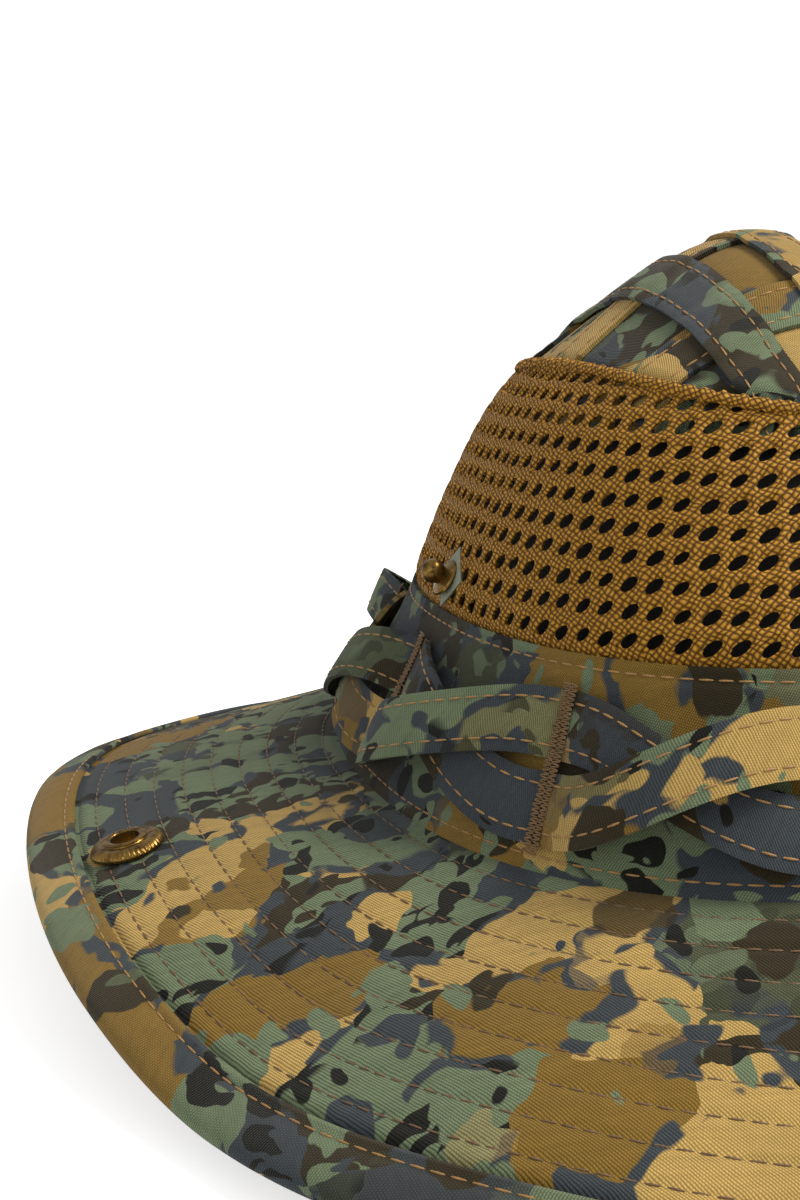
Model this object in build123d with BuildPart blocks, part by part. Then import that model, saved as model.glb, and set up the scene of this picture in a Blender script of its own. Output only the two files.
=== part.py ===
from build123d import *
import math
import os

# A wide-brimmed field hat. The front looks along -Y and the wearer's right side is -X.
# The origin is on the ground under the centre of the hat, which stands on its brim.
# "Angle" below always runs round the seam oval from the front, in degrees.
# "Lift" is a height above the seam that joins the crown to the brim.

# Overall sizes
head_half_width = 82.0
head_half_length = 98.0
crown_height = 103.5
brim_width = 67.4

# Crown wall, as heights and widths that are shares of the crown's height and of the seam oval
crown_profile = (
    (0.0, 1.0), (0.12, 0.915), (0.25, 0.833), (0.38, 0.77), (0.50, 0.711), (0.62, 0.645),
    (0.74, 0.56), (0.83, 0.455), (0.90, 0.34), (0.95, 0.235), (0.98, 0.15), (1.0, 0.05),
)
wall_foot = 6.0
side_band_height = 33.0
mesh_top_lift = 77.0
band_thickness = 1.2
mesh_thickness = 1.0
top_panel_thickness = 1.0
seam_play = 0.15
lining_play = 0.2

# Sweatband and inner seam tape
sweatband_thickness = 1.1
sweatband_height = 30.0
seam_tape_thickness = 0.9
seam_tape_half_width = 6.0

# Brim: three layers of cloth in a bound edge
side_slope = 13.0
end_slope = 28.0
cloth_thickness = 0.8
interlining_thickness = 1.0
layer_play = 0.1
brim_seam_gap = 0.4
binding_width = 10.5
binding_cloth = 0.7
binding_play = 0.15

# Fold of each side of the brim
fold_reach = 6.2
fold_lift = 1.5
fold_gap = 0.4

# Top tapes
top_tape_width = 11.0
top_tape_thickness = 1.0
across_tape_spacing = 31.0
along_tape_spacing = 21.0
tape_lift_play = 0.25
top_tape_tuck = 1.0

# Foliage tapes round the side band
cells_per_half = 5
foliage_tape_width = 12.5
foliage_tape_thickness = 1.2
foliage_tape_gap = 0.6
foliage_base_lift = 3.0
wall_play = 0.7
outer_bulge = 4.6
inner_bulge = 0.3
foliage_end_gap = 0.1

# Bartacks
bartack_width = 3.0
bartack_thickness = 0.5
bartack_play = 0.25

# Snap fasteners
snap_edge_gap = 7.5
socket_radius = 6.8
socket_height = 2.2
socket_rim = 0.9
barrel_bore = 2.9
barrel_wall = 0.5
barrel_lip = 0.3
barrel_lip_width = 0.9
metal_play = 0.05
cloth_hole_play = 0.2
cap_radius = 6.5
cap_rise = 1.5
cap_edge = 0.6
stud_flange_radius = 5.2
stud_flange_thickness = 1.0
stud_ball_radius = 2.45
stud_ball_lift = 2.3
stud_neck_radius = 1.8
post_radius = 4.6
post_thickness = 0.8
post_pin_radius = 1.2
post_pin_depth = 1.6
snap_mouth_play = 0.35
stud_tilt_room = 0.8
socket_play = 0.15
post_tilt_room = 1.0
patch_side = 11.0
patch_thickness = 0.5
patch_play = 0.1

# Places that follow from the sizes above
brim_thickness = 2 * cloth_thickness + interlining_thickness + 2 * layer_play
binding_below = brim_thickness + binding_play + binding_cloth
seam_height = brim_width * math.sin(math.radians(end_slope)) + binding_below
hinge_x = head_half_width + fold_reach
snap_reach = brim_width - binding_width - snap_edge_gap
mouth_height = socket_play + socket_height + metal_play + barrel_lip
far = 4 * (head_half_length + brim_width)

os.makedirs("parts", exist_ok=True)


def save(part, name):
    """Label a finished piece and write it as its own file."""
    part.label = name
    export_step(part, f"parts/{name}.step")


def wall_knots(offset):
    """Corners of the crown wall's outline moved outward by an offset: (lift, width share, extra)."""
    lifts = [-wall_foot] + [height * crown_height for height, _ in crown_profile]
    shares = [1.0] + [share for _, share in crown_profile]
    mean_radius = (head_half_width + head_half_length) / 2
    knots = []
    for i, (lift, share) in enumerate(zip(lifts, shares)):
        low, high = max(i - 1, 0), min(i + 1, len(lifts) - 1)
        rise = lifts[high] - lifts[low]
        run = (shares[low] - shares[high]) * mean_radius
        size = math.hypot(rise, run)
        knots.append((lift + offset * run / size, share, offset * rise / size))
    return knots


def wall_at(lift):
    """Width share and inward lean, in radians, of the crown wall at a lift."""
    knots = wall_knots(0)
    for (low, low_share, _), (high, high_share, _) in zip(knots, knots[1:]):
        if lift <= high or high == knots[-1][0]:
            step = (lift - low) / (high - low)
            share = low_share + step * (high_share - low_share)
            lean = math.atan2((low_share - high_share) * head_half_width, high - low)
            return share, lean
    return knots[-1][1], math.pi / 2


def crown_body(offset):
    """Closed dome whose surface stands an offset outside the crown wall."""
    with BuildPart() as body:
        for lift, share, extra in wall_knots(offset):
            with BuildSketch(Plane.XY.offset(seam_height + lift)):
                Ellipse(head_half_width * share + extra, head_half_length * share + extra)
        loft(ruled=True)
    return body.part


def crown_layer(inner, outer, bottom, top):
    """Shell between two offsets of the crown wall, from one lift to another."""
    with BuildPart() as layer:
        add(crown_body(outer))
        add(crown_body(inner), mode=Mode.SUBTRACT)
        with BuildSketch(Plane.XY.offset(seam_height + bottom)):
            Rectangle(far, far)
        extrude(amount=top - bottom, mode=Mode.INTERSECT)
    return layer.part


def oval_point(angle, share=1.0):
    """Point of the seam oval and its outward direction, both level."""
    turn = math.radians(angle)
    x, y = -math.sin(turn), -math.cos(turn)
    outward = Vector(x / head_half_width, y / head_half_length, 0).normalized()
    return Vector(x * head_half_width * share, y * head_half_length * share, seam_height), outward


def brim_slope(angle):
    """Downward slope of the brim at an angle, in degrees."""
    return side_slope + (end_slope - side_slope) * (1 - abs(math.sin(math.radians(angle))) ** 6)


def brim_point(angle, reach, lift=0.0):
    """Point on top of the brim, a reach out from the seam along the slope."""
    point, outward = oval_point(angle)
    slope = math.radians(brim_slope(angle))
    return point + outward * (reach * math.cos(slope)) + Vector(0, 0, lift - reach * math.sin(slope))


def brim_slab(side, reach_in, reach_out, low, high):
    """Half of the brim, on one side of the hat, between two reaches and two heights."""
    steps = 24
    reaches = (reach_in, (reach_in + reach_out) / 2, reach_out)
    grid = [
        [brim_point(-side * 180 * i / steps, reach, low) for i in range(steps + 1)]
        for reach in reaches
    ]
    sheet = Face.make_surface_from_array_of_points(grid)
    return Solid.extrude(sheet, Vector(0, 0, high - low))


def region_limits(region):
    """Centre and width along X of the part of the brim that a region holds."""
    if region == "fixed":
        return 0.0, 2 * hinge_x - fold_gap
    centre = hinge_x + fold_gap / 2 + far / 2
    return (-centre if region == "right" else centre), far


def brim_sides(region):
    """Halves of the brim that a region needs: -1 is the wearer's right, +1 the left."""
    return {"fixed": (-1, 1), "right": (-1,), "left": (1,)}[region]


def snap_plane(side):
    """Plane on top of the brim at a snap socket, facing out of the cloth."""
    slope = math.radians(side_slope)
    facing = Vector(side * math.sin(slope), 0, math.cos(slope))
    return Plane(origin=brim_point(-side * 90, snap_reach), x_dir=(0, 1, 0), z_dir=facing)


def brim_layer(region, low, high):
    """One layer of the brim's cloth in one region, with the holes of its snap sockets."""
    centre, width = region_limits(region)
    with BuildPart() as layer:
        for side in brim_sides(region):
            add(brim_slab(side, brim_seam_gap, brim_width - binding_cloth - binding_play, low, high))
        with BuildSketch(Plane.XY.offset(-far / 2)):
            with Locations((centre, 0)):
                Rectangle(width, far)
        extrude(amount=far, mode=Mode.INTERSECT)
        if region != "fixed":
            with BuildSketch(snap_plane(brim_sides(region)[0]).offset(-2 * brim_thickness)):
                Circle(barrel_bore + barrel_wall + cloth_hole_play)
            extrude(amount=3 * brim_thickness, mode=Mode.SUBTRACT)
    return layer.part


def brim_binding(region):
    """Folded strip round the edge of the brim in one region."""
    centre, width = region_limits(region)
    inner_reach = brim_width - binding_cloth
    with BuildPart() as binding:
        for side in brim_sides(region):
            add(brim_slab(side, brim_width - binding_width, brim_width, -binding_below,
                          binding_play + binding_cloth))
        for side in brim_sides(region):
            add(brim_slab(side, brim_width - 2 * binding_width, inner_reach,
                          -brim_thickness - binding_play, binding_play), mode=Mode.SUBTRACT)
        with BuildSketch(Plane.XY.offset(-far / 2)):
            with Locations((centre, 0)):
                Rectangle(width, far)
        extrude(amount=far, mode=Mode.INTERSECT)
    return binding.part


def side_view(reach, height):
    """Distance from the hat's centre and lift of a point over the brim at its side."""
    slope = math.radians(side_slope)
    out = head_half_width + reach * math.cos(slope) + height * math.sin(slope)
    return out, height * math.cos(slope) - reach * math.sin(slope)


def wall_distance(out, lift):
    """Distance at the side of the hat from a point to the crown wall."""
    share, lean = wall_at(lift)
    return (out - head_half_width * share) * math.cos(lean)


def closed_fold():
    """Fold angle, in degrees, that brings the socket's mouth against the stud's flange."""
    stand = patch_play + patch_thickness + stud_tilt_room + stud_flange_thickness + snap_mouth_play
    low, high = 90.0, 170.0
    for _ in range(50):
        middle = (low + high) / 2
        out, lift, _ = folded_mouth(middle)
        if wall_distance(out, lift) > stand:
            low = middle
        else:
            high = middle
    return low


def folded_mouth(fold):
    """Socket mouth after a fold: its distance from the centre, its lift and where it faces."""
    out, lift = side_view(snap_reach, mouth_height)
    turn = math.radians(fold)
    reach_x, reach_z = out - hinge_x, lift - fold_lift
    folded_x = hinge_x + reach_x * math.cos(turn) - reach_z * math.sin(turn)
    folded_z = fold_lift + reach_x * math.sin(turn) + reach_z * math.cos(turn)
    facing = math.radians(90 - side_slope) + turn
    return folded_x, folded_z, facing


fold_range = closed_fold()


def stud_plane(side):
    """Plane of the stud's flange back, facing away from the crown, so that the snap closes."""
    out, lift, facing = folded_mouth(fold_range)
    back = stud_flange_thickness + snap_mouth_play
    origin = Vector(side * (out + back * math.cos(facing)), 0, seam_height + lift + back * math.sin(facing))
    away = Vector(-side * math.cos(facing), 0, -math.sin(facing))
    return Plane(origin=origin, x_dir=(0, 1, 0), z_dir=away)


def tack_angles():
    """Angles of the bartacks from the left side round the front and the back to the left side
    again, at equal lengths along the seam oval."""
    steps = 1800
    lengths = [0.0]
    for i in range(steps):
        turn = math.radians(180 * (i + 0.5) / steps - 90)
        speed = math.hypot(head_half_width * math.cos(turn), head_half_length * math.sin(turn))
        lengths.append(lengths[-1] + speed)
    front = []
    for cell in range(cells_per_half):
        target = lengths[-1] * cell / cells_per_half
        index = min(range(len(lengths)), key=lambda i: abs(lengths[i] - target))
        front.append(180 * index / steps - 90)
    front.append(90.0)
    return front + [180 - angle for angle in reversed(front)][1:]


def station(angle, lift, stand):
    """Plane across a tape that lies on the side band, a stand outside it."""
    share, lean = wall_at(lift)
    point, outward = oval_point(angle, share)
    normal = outward * math.cos(lean) + Vector(0, 0, math.sin(lean))
    along = outward.cross(Vector(0, 0, 1))
    return Plane(origin=point + Vector(0, 0, lift) + normal * stand, x_dir=normal, z_dir=along)


band_lean = wall_at(side_band_height / 2)[1]
tape_pitch = (foliage_tape_width + foliage_tape_gap) * math.cos(band_lean)
low_tape_lift = foliage_base_lift + foliage_tape_width / 2 * math.cos(band_lean)
high_tape_lift = low_tape_lift + tape_pitch

# Along each cell: share of the cell, share of the climb, share of the bulge
loop_shape = (
    (0.0, 0.0, 0.0), (0.05, 0.0, 0.0), (0.2, 0.0, 0.55), (0.35, 0.25, 0.9), (0.5, 0.5, 1.0),
    (0.65, 0.75, 0.9), (0.8, 1.0, 0.55), (0.95, 1.0, 0.0), (1.0, 1.0, 0.0),
)


def foliage_tape(cells, outer):
    """Tape stitched down at the bartacks, over the given cells of the side band."""
    angles = tack_angles()
    bulge = outer_bulge if outer else inner_bulge
    start, climb = (high_tape_lift, -tape_pitch) if outer else (low_tape_lift, tape_pitch)
    with BuildPart() as tape:
        for cell in cells:
            first, last = angles[cell], angles[cell + 1]
            sections = []
            for share, climbed, bulged in loop_shape:
                inset = foliage_end_gap * (0.5 - share) * 2
                angle = first + (last - first) * share + inset
                stand = wall_play + bulge * bulged + foliage_tape_thickness / 2
                with BuildSketch(station(angle, start + climb * climbed, stand)) as section:
                    Rectangle(foliage_tape_thickness, foliage_tape_width)
                sections.append(section.sketch)
            loft(sections=sections, ruled=True)
    return tape.part


side_cells_right = (cells_per_half - 1, cells_per_half)
side_cells_left = (2 * cells_per_half - 1, 0)
front_cells = tuple(range(1, cells_per_half - 1))
back_cells = tuple(range(cells_per_half + 1, 2 * cells_per_half - 1))

# Crown shell
save(crown_layer(-band_thickness, 0, -brim_thickness, side_band_height), "lower_side_band")
stud_hole_radius = post_pin_radius + cloth_hole_play
with BuildPart() as mesh_band:
    add(crown_layer(-mesh_thickness, 0, side_band_height + seam_play, mesh_top_lift - seam_play))
    for side in (-1, 1):
        with BuildSketch(stud_plane(side).offset(-far / 20)):
            Circle(stud_hole_radius)
        extrude(amount=far / 10, mode=Mode.SUBTRACT)
save(mesh_band.part, "mesh_band")
save(crown_layer(-top_panel_thickness, 0, mesh_top_lift, crown_height + 1), "crown_top_panel")

tape_inside = max(top_panel_thickness, mesh_thickness) + lining_play
save(crown_layer(-tape_inside - seam_tape_thickness, -tape_inside,
                 mesh_top_lift - seam_tape_half_width, mesh_top_lift + seam_tape_half_width),
     "crown_seam_tape")
sweat_inside = band_thickness + lining_play
save(crown_layer(-sweat_inside - sweatband_thickness, -sweat_inside,
                 -brim_thickness, sweatband_height), "sweatband")

# Tapes across and along the top
along_base = tape_lift_play + top_tape_thickness
tape_grid = {
    "top_tape_across_front": (False, -across_tape_spacing), "top_tape_across_middle": (False, 0),
    "top_tape_across_back": (False, across_tape_spacing), "top_tape_along_right": (True, -along_tape_spacing),
    "top_tape_along_middle": (True, 0), "top_tape_along_left": (True, along_tape_spacing),
}
for name, (along, place) in tape_grid.items():
    base = along_base + tape_lift_play if along else tape_lift_play
    with BuildPart() as top_tape:
        add(crown_layer(base, base + top_tape_thickness, mesh_top_lift + top_tape_tuck,
                        crown_height + far))
        with BuildSketch():
            with Locations((place, 0) if along else (0, place)):
                Rectangle(*((top_tape_width, far) if along else (far, top_tape_width)))
        extrude(amount=far, mode=Mode.INTERSECT)
    save(top_tape.part, name)

# Foliage tapes and the bartacks that hold them
save(foliage_tape(front_cells, True), "foliage_tape_outer_front")
save(foliage_tape(front_cells, False), "foliage_tape_inner_front")
save(foliage_tape(back_cells, True), "foliage_tape_outer_back")
save(foliage_tape(back_cells, False), "foliage_tape_inner_back")
for name, cells in (("right", side_cells_right), ("left", side_cells_left)):
    with BuildPart() as loops:
        add(foliage_tape(cells, True))
        add(foliage_tape(cells, False))
    save(loops.part, f"foliage_loops_{name}")

tack_height = foliage_tape_width + 3 * foliage_tape_gap
tack_stand = wall_play + foliage_tape_thickness + bartack_play + bartack_thickness / 2
with BuildPart() as bartacks:
    for angle in tack_angles()[:-1]:
        for lift in (low_tape_lift, high_tape_lift):
            with BuildSketch(station(angle, lift, tack_stand).offset(-bartack_width / 2)):
                Rectangle(bartack_thickness, tack_height)
            extrude(amount=bartack_width)
save(bartacks.part, "bartacks")

# Brim
top_low = -cloth_thickness
inter_low = top_low - layer_play - interlining_thickness
bottom_low = inter_low - layer_play - cloth_thickness
brim_layers = {
    "top_cloth": (top_low, 0.0),
    "interlining": (inter_low, top_low - layer_play),
    "bottom_cloth": (bottom_low, inter_low - layer_play),
}
for region in ("fixed", "right", "left"):
    prefix = "brim" if region == "fixed" else f"{region}_flap"
    for layer_name, (low, high) in brim_layers.items():
        save(brim_layer(region, low, high), f"{prefix}_{layer_name}")
    save(brim_binding(region), f"{prefix}_binding")

# Snap fasteners
barrel_radius = barrel_bore + barrel_wall
for side, hand in ((-1, "right"), (1, "left")):
    top = snap_plane(side)
    with BuildPart() as socket:
        with BuildSketch(top.offset(socket_play)):
            Circle(socket_radius)
            Circle(barrel_radius + metal_play, mode=Mode.SUBTRACT)
        extrude(amount=socket_height)
        rim_edges = socket.edges().filter_by(GeomType.CIRCLE).sort_by(SortBy.RADIUS)[-2:]
        fillet(rim_edges, radius=socket_rim)
    save(socket.part, f"snap_socket_{hand}")

    under = brim_thickness + metal_play
    with BuildPart() as cap:
        with BuildSketch(top.offset(-under - cap_edge)):
            Circle(cap_radius)
        extrude(amount=cap_edge)
        with BuildSketch(top.offset(-under - cap_edge)):
            Circle(cap_radius)
        extrude(amount=-(cap_rise - cap_edge), taper=45)
        with BuildSketch(top.offset(-under)):
            Circle(barrel_radius)
        extrude(amount=under + mouth_height)
        with BuildSketch(top.offset(mouth_height - barrel_lip)):
            Circle(barrel_radius + barrel_lip_width)
        extrude(amount=barrel_lip)
        with BuildSketch(top.offset(mouth_height)):
            Circle(barrel_bore)
        extrude(amount=-(under + mouth_height - metal_play), mode=Mode.SUBTRACT)
    save(cap.part, f"snap_cap_{hand}")

    base = stud_plane(side)
    with BuildPart() as stud:
        with BuildSketch(base):
            Circle(stud_flange_radius)
        extrude(amount=stud_flange_thickness)
        with BuildSketch(base.offset(stud_flange_thickness)):
            Circle(stud_neck_radius)
        extrude(amount=stud_ball_lift)
        with Locations(base.offset(stud_flange_thickness + stud_ball_lift)):
            Sphere(stud_ball_radius)
        with BuildSketch(base):
            Circle(post_pin_radius + metal_play)
        extrude(amount=post_pin_depth + metal_play, mode=Mode.SUBTRACT)
    save(stud.part, f"snap_stud_{hand}")

    wall_depth = stud_tilt_room + patch_play + patch_thickness + mesh_thickness + post_tilt_room
    with BuildPart() as post:
        with BuildSketch(base.offset(-wall_depth - post_thickness)):
            Circle(post_radius)
        extrude(amount=post_thickness)
        with BuildSketch(base.offset(-wall_depth)):
            Circle(post_pin_radius)
        extrude(amount=wall_depth + post_pin_depth)
    save(post.part, f"snap_post_{hand}")

    with BuildPart() as patch:
        add(crown_layer(patch_play, patch_play + patch_thickness,
                        side_band_height, mesh_top_lift))
        with BuildSketch(base.offset(-far / 20)):
            Rectangle(patch_side, patch_side, rotation=45)
            Circle(stud_hole_radius, mode=Mode.SUBTRACT)
        extrude(amount=far / 10, mode=Mode.INTERSECT)
    save(patch.part, f"stud_patch_{hand}")

print(f"fold range {fold_range:.3f} degrees, hinge x {hinge_x:.3f}, hinge z {seam_height + fold_lift:.3f}")
print(f"seam height {seam_height:.3f}, stud at {stud_plane(-1).origin}")
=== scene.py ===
"""Boonie hat: cloth, mesh, tapes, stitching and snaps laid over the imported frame."""
import functools
import logging
import math
from dataclasses import dataclass, field
from enum import Enum
from typing import Callable, Iterable, Optional, Sequence, Union

import bmesh
import bpy
import numpy as np
from mathutils import Matrix, Vector


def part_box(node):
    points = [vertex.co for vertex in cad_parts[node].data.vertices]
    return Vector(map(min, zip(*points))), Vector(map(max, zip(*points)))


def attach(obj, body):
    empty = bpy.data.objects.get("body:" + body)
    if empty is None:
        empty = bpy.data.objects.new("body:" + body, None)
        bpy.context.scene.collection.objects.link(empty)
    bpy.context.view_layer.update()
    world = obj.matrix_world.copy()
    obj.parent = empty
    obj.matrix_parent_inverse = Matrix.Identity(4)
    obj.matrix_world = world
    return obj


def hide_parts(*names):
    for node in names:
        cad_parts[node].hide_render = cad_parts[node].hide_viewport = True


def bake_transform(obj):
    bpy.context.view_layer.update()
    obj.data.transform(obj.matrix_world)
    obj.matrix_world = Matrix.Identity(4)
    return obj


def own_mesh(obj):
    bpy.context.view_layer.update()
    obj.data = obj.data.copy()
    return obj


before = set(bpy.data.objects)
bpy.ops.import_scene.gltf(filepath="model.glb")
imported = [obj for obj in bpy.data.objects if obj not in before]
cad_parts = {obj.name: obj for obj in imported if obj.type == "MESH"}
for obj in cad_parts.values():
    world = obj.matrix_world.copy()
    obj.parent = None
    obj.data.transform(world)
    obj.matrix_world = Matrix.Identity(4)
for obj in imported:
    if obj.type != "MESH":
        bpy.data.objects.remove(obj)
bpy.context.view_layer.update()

MM = 0.001
SLOPE_STEPS = (1e-3, 0.4 * MM)  # small changes of a turn and a length, used for slopes
SUNK = 0.02 * MM  # how deep a row of thread lies in its groove
Array = np.ndarray
Surface = Callable[[Array, Array], Array]
Stand = Union[float, Array]
Socket = bpy.types.NodeSocket
Value = Union[float, tuple, Socket]
log = logging.getLogger("hat")


class Side(Enum):
    """The wearer's two sides, and the sign of X on each."""

    RIGHT = -1
    LEFT = 1

    @property
    def hand(self) -> str:
        """Name used in nodes and pieces."""
        return self.name.lower()


class Facing(Enum):
    """Which way the good face of a cloth points."""

    OUT = "out"
    UP = "up"
    DOWN = "down"


# ---------------------------------------------------------------- curves and surfaces


def smooth_curve(knots: Sequence[float], values: Sequence[float], at: Array) -> Array:
    """Monotone cubic through knots.

    Args:
        knots: rising places of the knots.
        values: value at each knot.
        at: places wanted.

    Returns:
        The curve's value at each place.
    """
    x, y = np.asarray(knots, float), np.asarray(values, float)
    step, rise = np.diff(x), np.diff(y) / np.diff(x)
    lean = np.zeros(len(x))
    same = rise[:-1] * rise[1:] > 0
    w1, w2 = 2 * step[1:] + step[:-1], step[1:] + 2 * step[:-1]
    safe = np.where(same, rise[:-1], 1.0), np.where(same, rise[1:], 1.0)
    lean[1:-1] = np.where(same, (w1 + w2) / (w1 / safe[0] + w2 / safe[1]), 0.0)
    lean[0], lean[-1] = rise[0], rise[-1]
    at = np.clip(at, x[0], x[-1])
    i = np.clip(np.searchsorted(x, at, side="right") - 1, 0, len(x) - 2)
    h = step[i]
    t = (at - x[i]) / h
    return (y[i] * (1 + 2 * t) * (1 - t) ** 2 + lean[i] * h * t * (1 - t) ** 2
            + y[i + 1] * t * t * (3 - 2 * t) + lean[i + 1] * h * t * t * (t - 1))


def unit(vectors: Array) -> Array:
    """Vectors made one long."""
    return vectors / np.maximum(np.linalg.norm(vectors, axis=-1, keepdims=True), 1e-12)


def ease(low: float, high: float, value: Array) -> Array:
    """Smooth step from 0 at low to 1 at high."""
    t = np.clip((value - low) / (high - low), 0, 1)
    return t * t * (3 - 2 * t)


def run_lengths(points: Array) -> Array:
    """Length along a run of points, at each of them."""
    return np.concatenate([[0], np.cumsum(np.linalg.norm(np.diff(points, axis=0), axis=1))])


def bell(value: Array, place: float, width: float) -> Array:
    """1 at a place, falling softly to 0 on both sides of it."""
    return np.exp(-((value - place) / width) ** 2)


@dataclass
class HatForm:
    """The hat's surfaces, in metres. A turn runs from the front round the wearer's right, 0 to 1.

    A climb is a length up the crown wall from the seam, and a reach a length out over the brim.
    """

    half_width: float
    half_length: float
    crown_height: float
    seam_z: float
    squareness: float = 2.275
    seam_wave: float = 2.05 * MM
    brim_width: float = 68.6 * MM
    mesh_lift: float = 76.8 * MM
    mesh_wave: float = 3.3 * MM
    wave_fades: float = 60 * MM
    brim_curl: float = 5.0
    curl_change: float = 3.3
    ripple: float = 0.5 * MM
    profile: tuple = ((0.0, 1.0), (0.25, 0.8333), (0.5, 0.7106), (0.72, 0.561), (0.79, 0.460), (0.87, 0.338),
                      (0.94, 0.222), (1.0, 0.0))
    brim_slopes: tuple = ((-15, 27.5), (0, 29.5), (15, 27.5), (30, 25.0), (45, 23.4), (60, 23.9), (75, 17.8),
                          (90, 11.8), (105, 9.6), (120, 12.0), (135, 16.1), (150, 21), (165, 26.5),
                          (180, 29.5), (195, 26.5))

    @classmethod
    def from_frame(cls) -> "HatForm":
        """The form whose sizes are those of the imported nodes.

        Returns:
            The form.
        """
        band_low, band_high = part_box("lower_side_band")
        panel_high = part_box("crown_top_panel")[1]
        seam_z = band_low.z + BrimHalf.thickness
        log.info("seam at %.4f m", seam_z)
        return cls(band_high.x, band_high.y, panel_high.z - seam_z + 1.0 * MM, seam_z)

    def __post_init__(self) -> None:
        """Tables from a turn to an angle and from a climb to a share and a lift."""
        angles = np.linspace(0, 2 * np.pi, 8193)
        lengths = run_lengths(self._polar(angles))
        self.girth = float(lengths[-1])
        self._turns, self._angles = lengths / self.girth, angles
        heights = 1 - (1 - np.linspace(0, 1, 1500)) ** 2
        knots, shares = zip(*self.profile)
        squares = smooth_curve(knots, np.square(shares), heights)
        self._shares = np.sqrt(np.maximum(squares, 0))
        self._lifts = heights * self.crown_height
        mean = (self.half_width + self.half_length) / 2
        self._climbs = run_lengths(np.stack([self._shares * mean, self._lifts], -1))
        self.full_climb = float(self._climbs[-1])

    def _polar(self, angle: Array) -> Array:
        """Point of the seam oval in a direction from the centre.

        Args:
            angle: directions, from the front round the right.

        Returns:
            Points in plan.
        """
        s, c = np.sin(angle), np.cos(angle)
        n = self.squareness
        radius = ((np.abs(s) / self.half_width) ** n + (np.abs(c) / self.half_length) ** n) ** (-1 / n)
        return np.stack([-radius * s, -radius * c], -1)

    def oval(self, turn: Array) -> tuple:
        """Seam oval at a turn: its points, outward directions and even angle.

        Args:
            turn: turns round the hat.

        Returns:
            The points, outward directions and even angles.
        """
        point = self._polar(np.interp(np.mod(turn, 1.0), self._turns, self._angles))
        half = np.array([self.half_width, self.half_length])
        power = np.abs(point / half)
        out = unit(np.sign(point) * power ** (self.squareness - 1) / half)
        even = np.sign(point) * power ** (self.squareness / 2)
        return point, out, np.arctan2(-even[..., 0], -even[..., 1])

    def seam_height(self, angle: Array) -> Array:
        """Height of the seam, which dips at the sides."""
        return self.seam_z + self.seam_wave * (np.cos(2 * angle) + np.cos(4 * angle) / 6)

    def climbs_of(self, lifts: Array) -> Array:
        """Climbs of lifts above the seam."""
        return np.interp(lifts, self._lifts, self._climbs)

    def climb_of(self, lift: float) -> float:
        """Climb of one lift, which may lie below the seam."""
        return float(self.climbs_of(lift)) if lift > 0 else lift

    def share_of(self, climb: Array) -> Array:
        """Share of the seam oval's width at a climb."""
        return np.interp(climb, self._climbs, self._shares)

    def wall(self, turn: Array, climb: Array) -> Array:
        """Point of the crown's outer face.

        Args:
            turn: turns round the hat.
            climb: lengths up the wall.

        Returns:
            The points.
        """
        point, _, angle = self.oval(turn)
        share = self.share_of(climb)
        lift = np.where(climb < 0, climb, np.interp(climb, self._climbs, self._lifts))
        fade = np.clip(1 - lift / self.wave_fades, 0, 1)
        z = self.seam_z + (self.seam_height(angle) - self.seam_z) * fade + lift
        return np.concatenate([point * share[..., None], z[..., None]], -1)

    def off_wall(self, turn: Array, climb: Array, stand: Stand) -> tuple:
        """Points a stand off the crown's outer face, and the outward normals there."""
        return raised(self.wall, turn, climb, stand, turn_over=True)

    def dome(self, x: Array, y: Array) -> Array:
        """Point of the crown's outer face over a place in plan.

        Args:
            x: places in X.
            y: places in Y.

        Returns:
            The points.
        """
        n = self.squareness
        share = ((np.abs(x) / self.half_width) ** n + (np.abs(y) / self.half_length) ** n) ** (1 / n)
        lift = np.interp(-share, -self._shares, self._lifts)
        return np.stack([x, y, self.seam_z + lift], -1)

    def edge_lift(self, angle: Array) -> Array:
        """Lift of the mesh's upper edge, which falls towards the front and the back."""
        return self.mesh_lift - self.mesh_wave * np.cos(2 * angle)

    def clear_of_mesh(self, point: Array) -> Array:
        """0 where a point of the crown is behind the mesh, 1 above the mesh's upper edge.

        Args:
            point: points of the crown.

        Returns:
            A number for each point.
        """
        half = np.array([self.half_width, self.half_length])
        even = (np.abs(point[..., :2]) / half) ** (self.squareness / 2)
        angle = np.arctan2(even[..., 0], even[..., 1])
        return ease(-1.5 * MM, 2.0 * MM, point[..., 2] - self.seam_z - self.edge_lift(angle))

    def brim(self, turn: Array, reach: Array) -> Array:
        """Point of the brim's upper face.

        Args:
            turn: turns round the hat.
            reach: lengths out from the seam.

        Returns:
            The points.
        """
        point, out, angle = self.oval(turn)
        around = np.degrees(np.abs(angle))
        knots, slopes = zip(*self.brim_slopes)
        mean = np.radians(smooth_curve(knots, slopes, around))
        curl = np.radians(self.brim_curl - self.curl_change * np.cos(2 * angle)) / self.brim_width
        first = mean - curl * self.brim_width / 2
        run = (np.sin(first + curl * reach) - np.sin(first)) / curl
        fall = (np.cos(first) - np.cos(first + curl * reach)) / curl
        level = self.seam_height(angle) - fall
        wave = self.ripple * np.sin(9 * angle + 40 * reach) * np.clip(reach / self.brim_width, 0, 1)
        return np.concatenate([point + out * run[..., None], (level + wave)[..., None]], -1)


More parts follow.
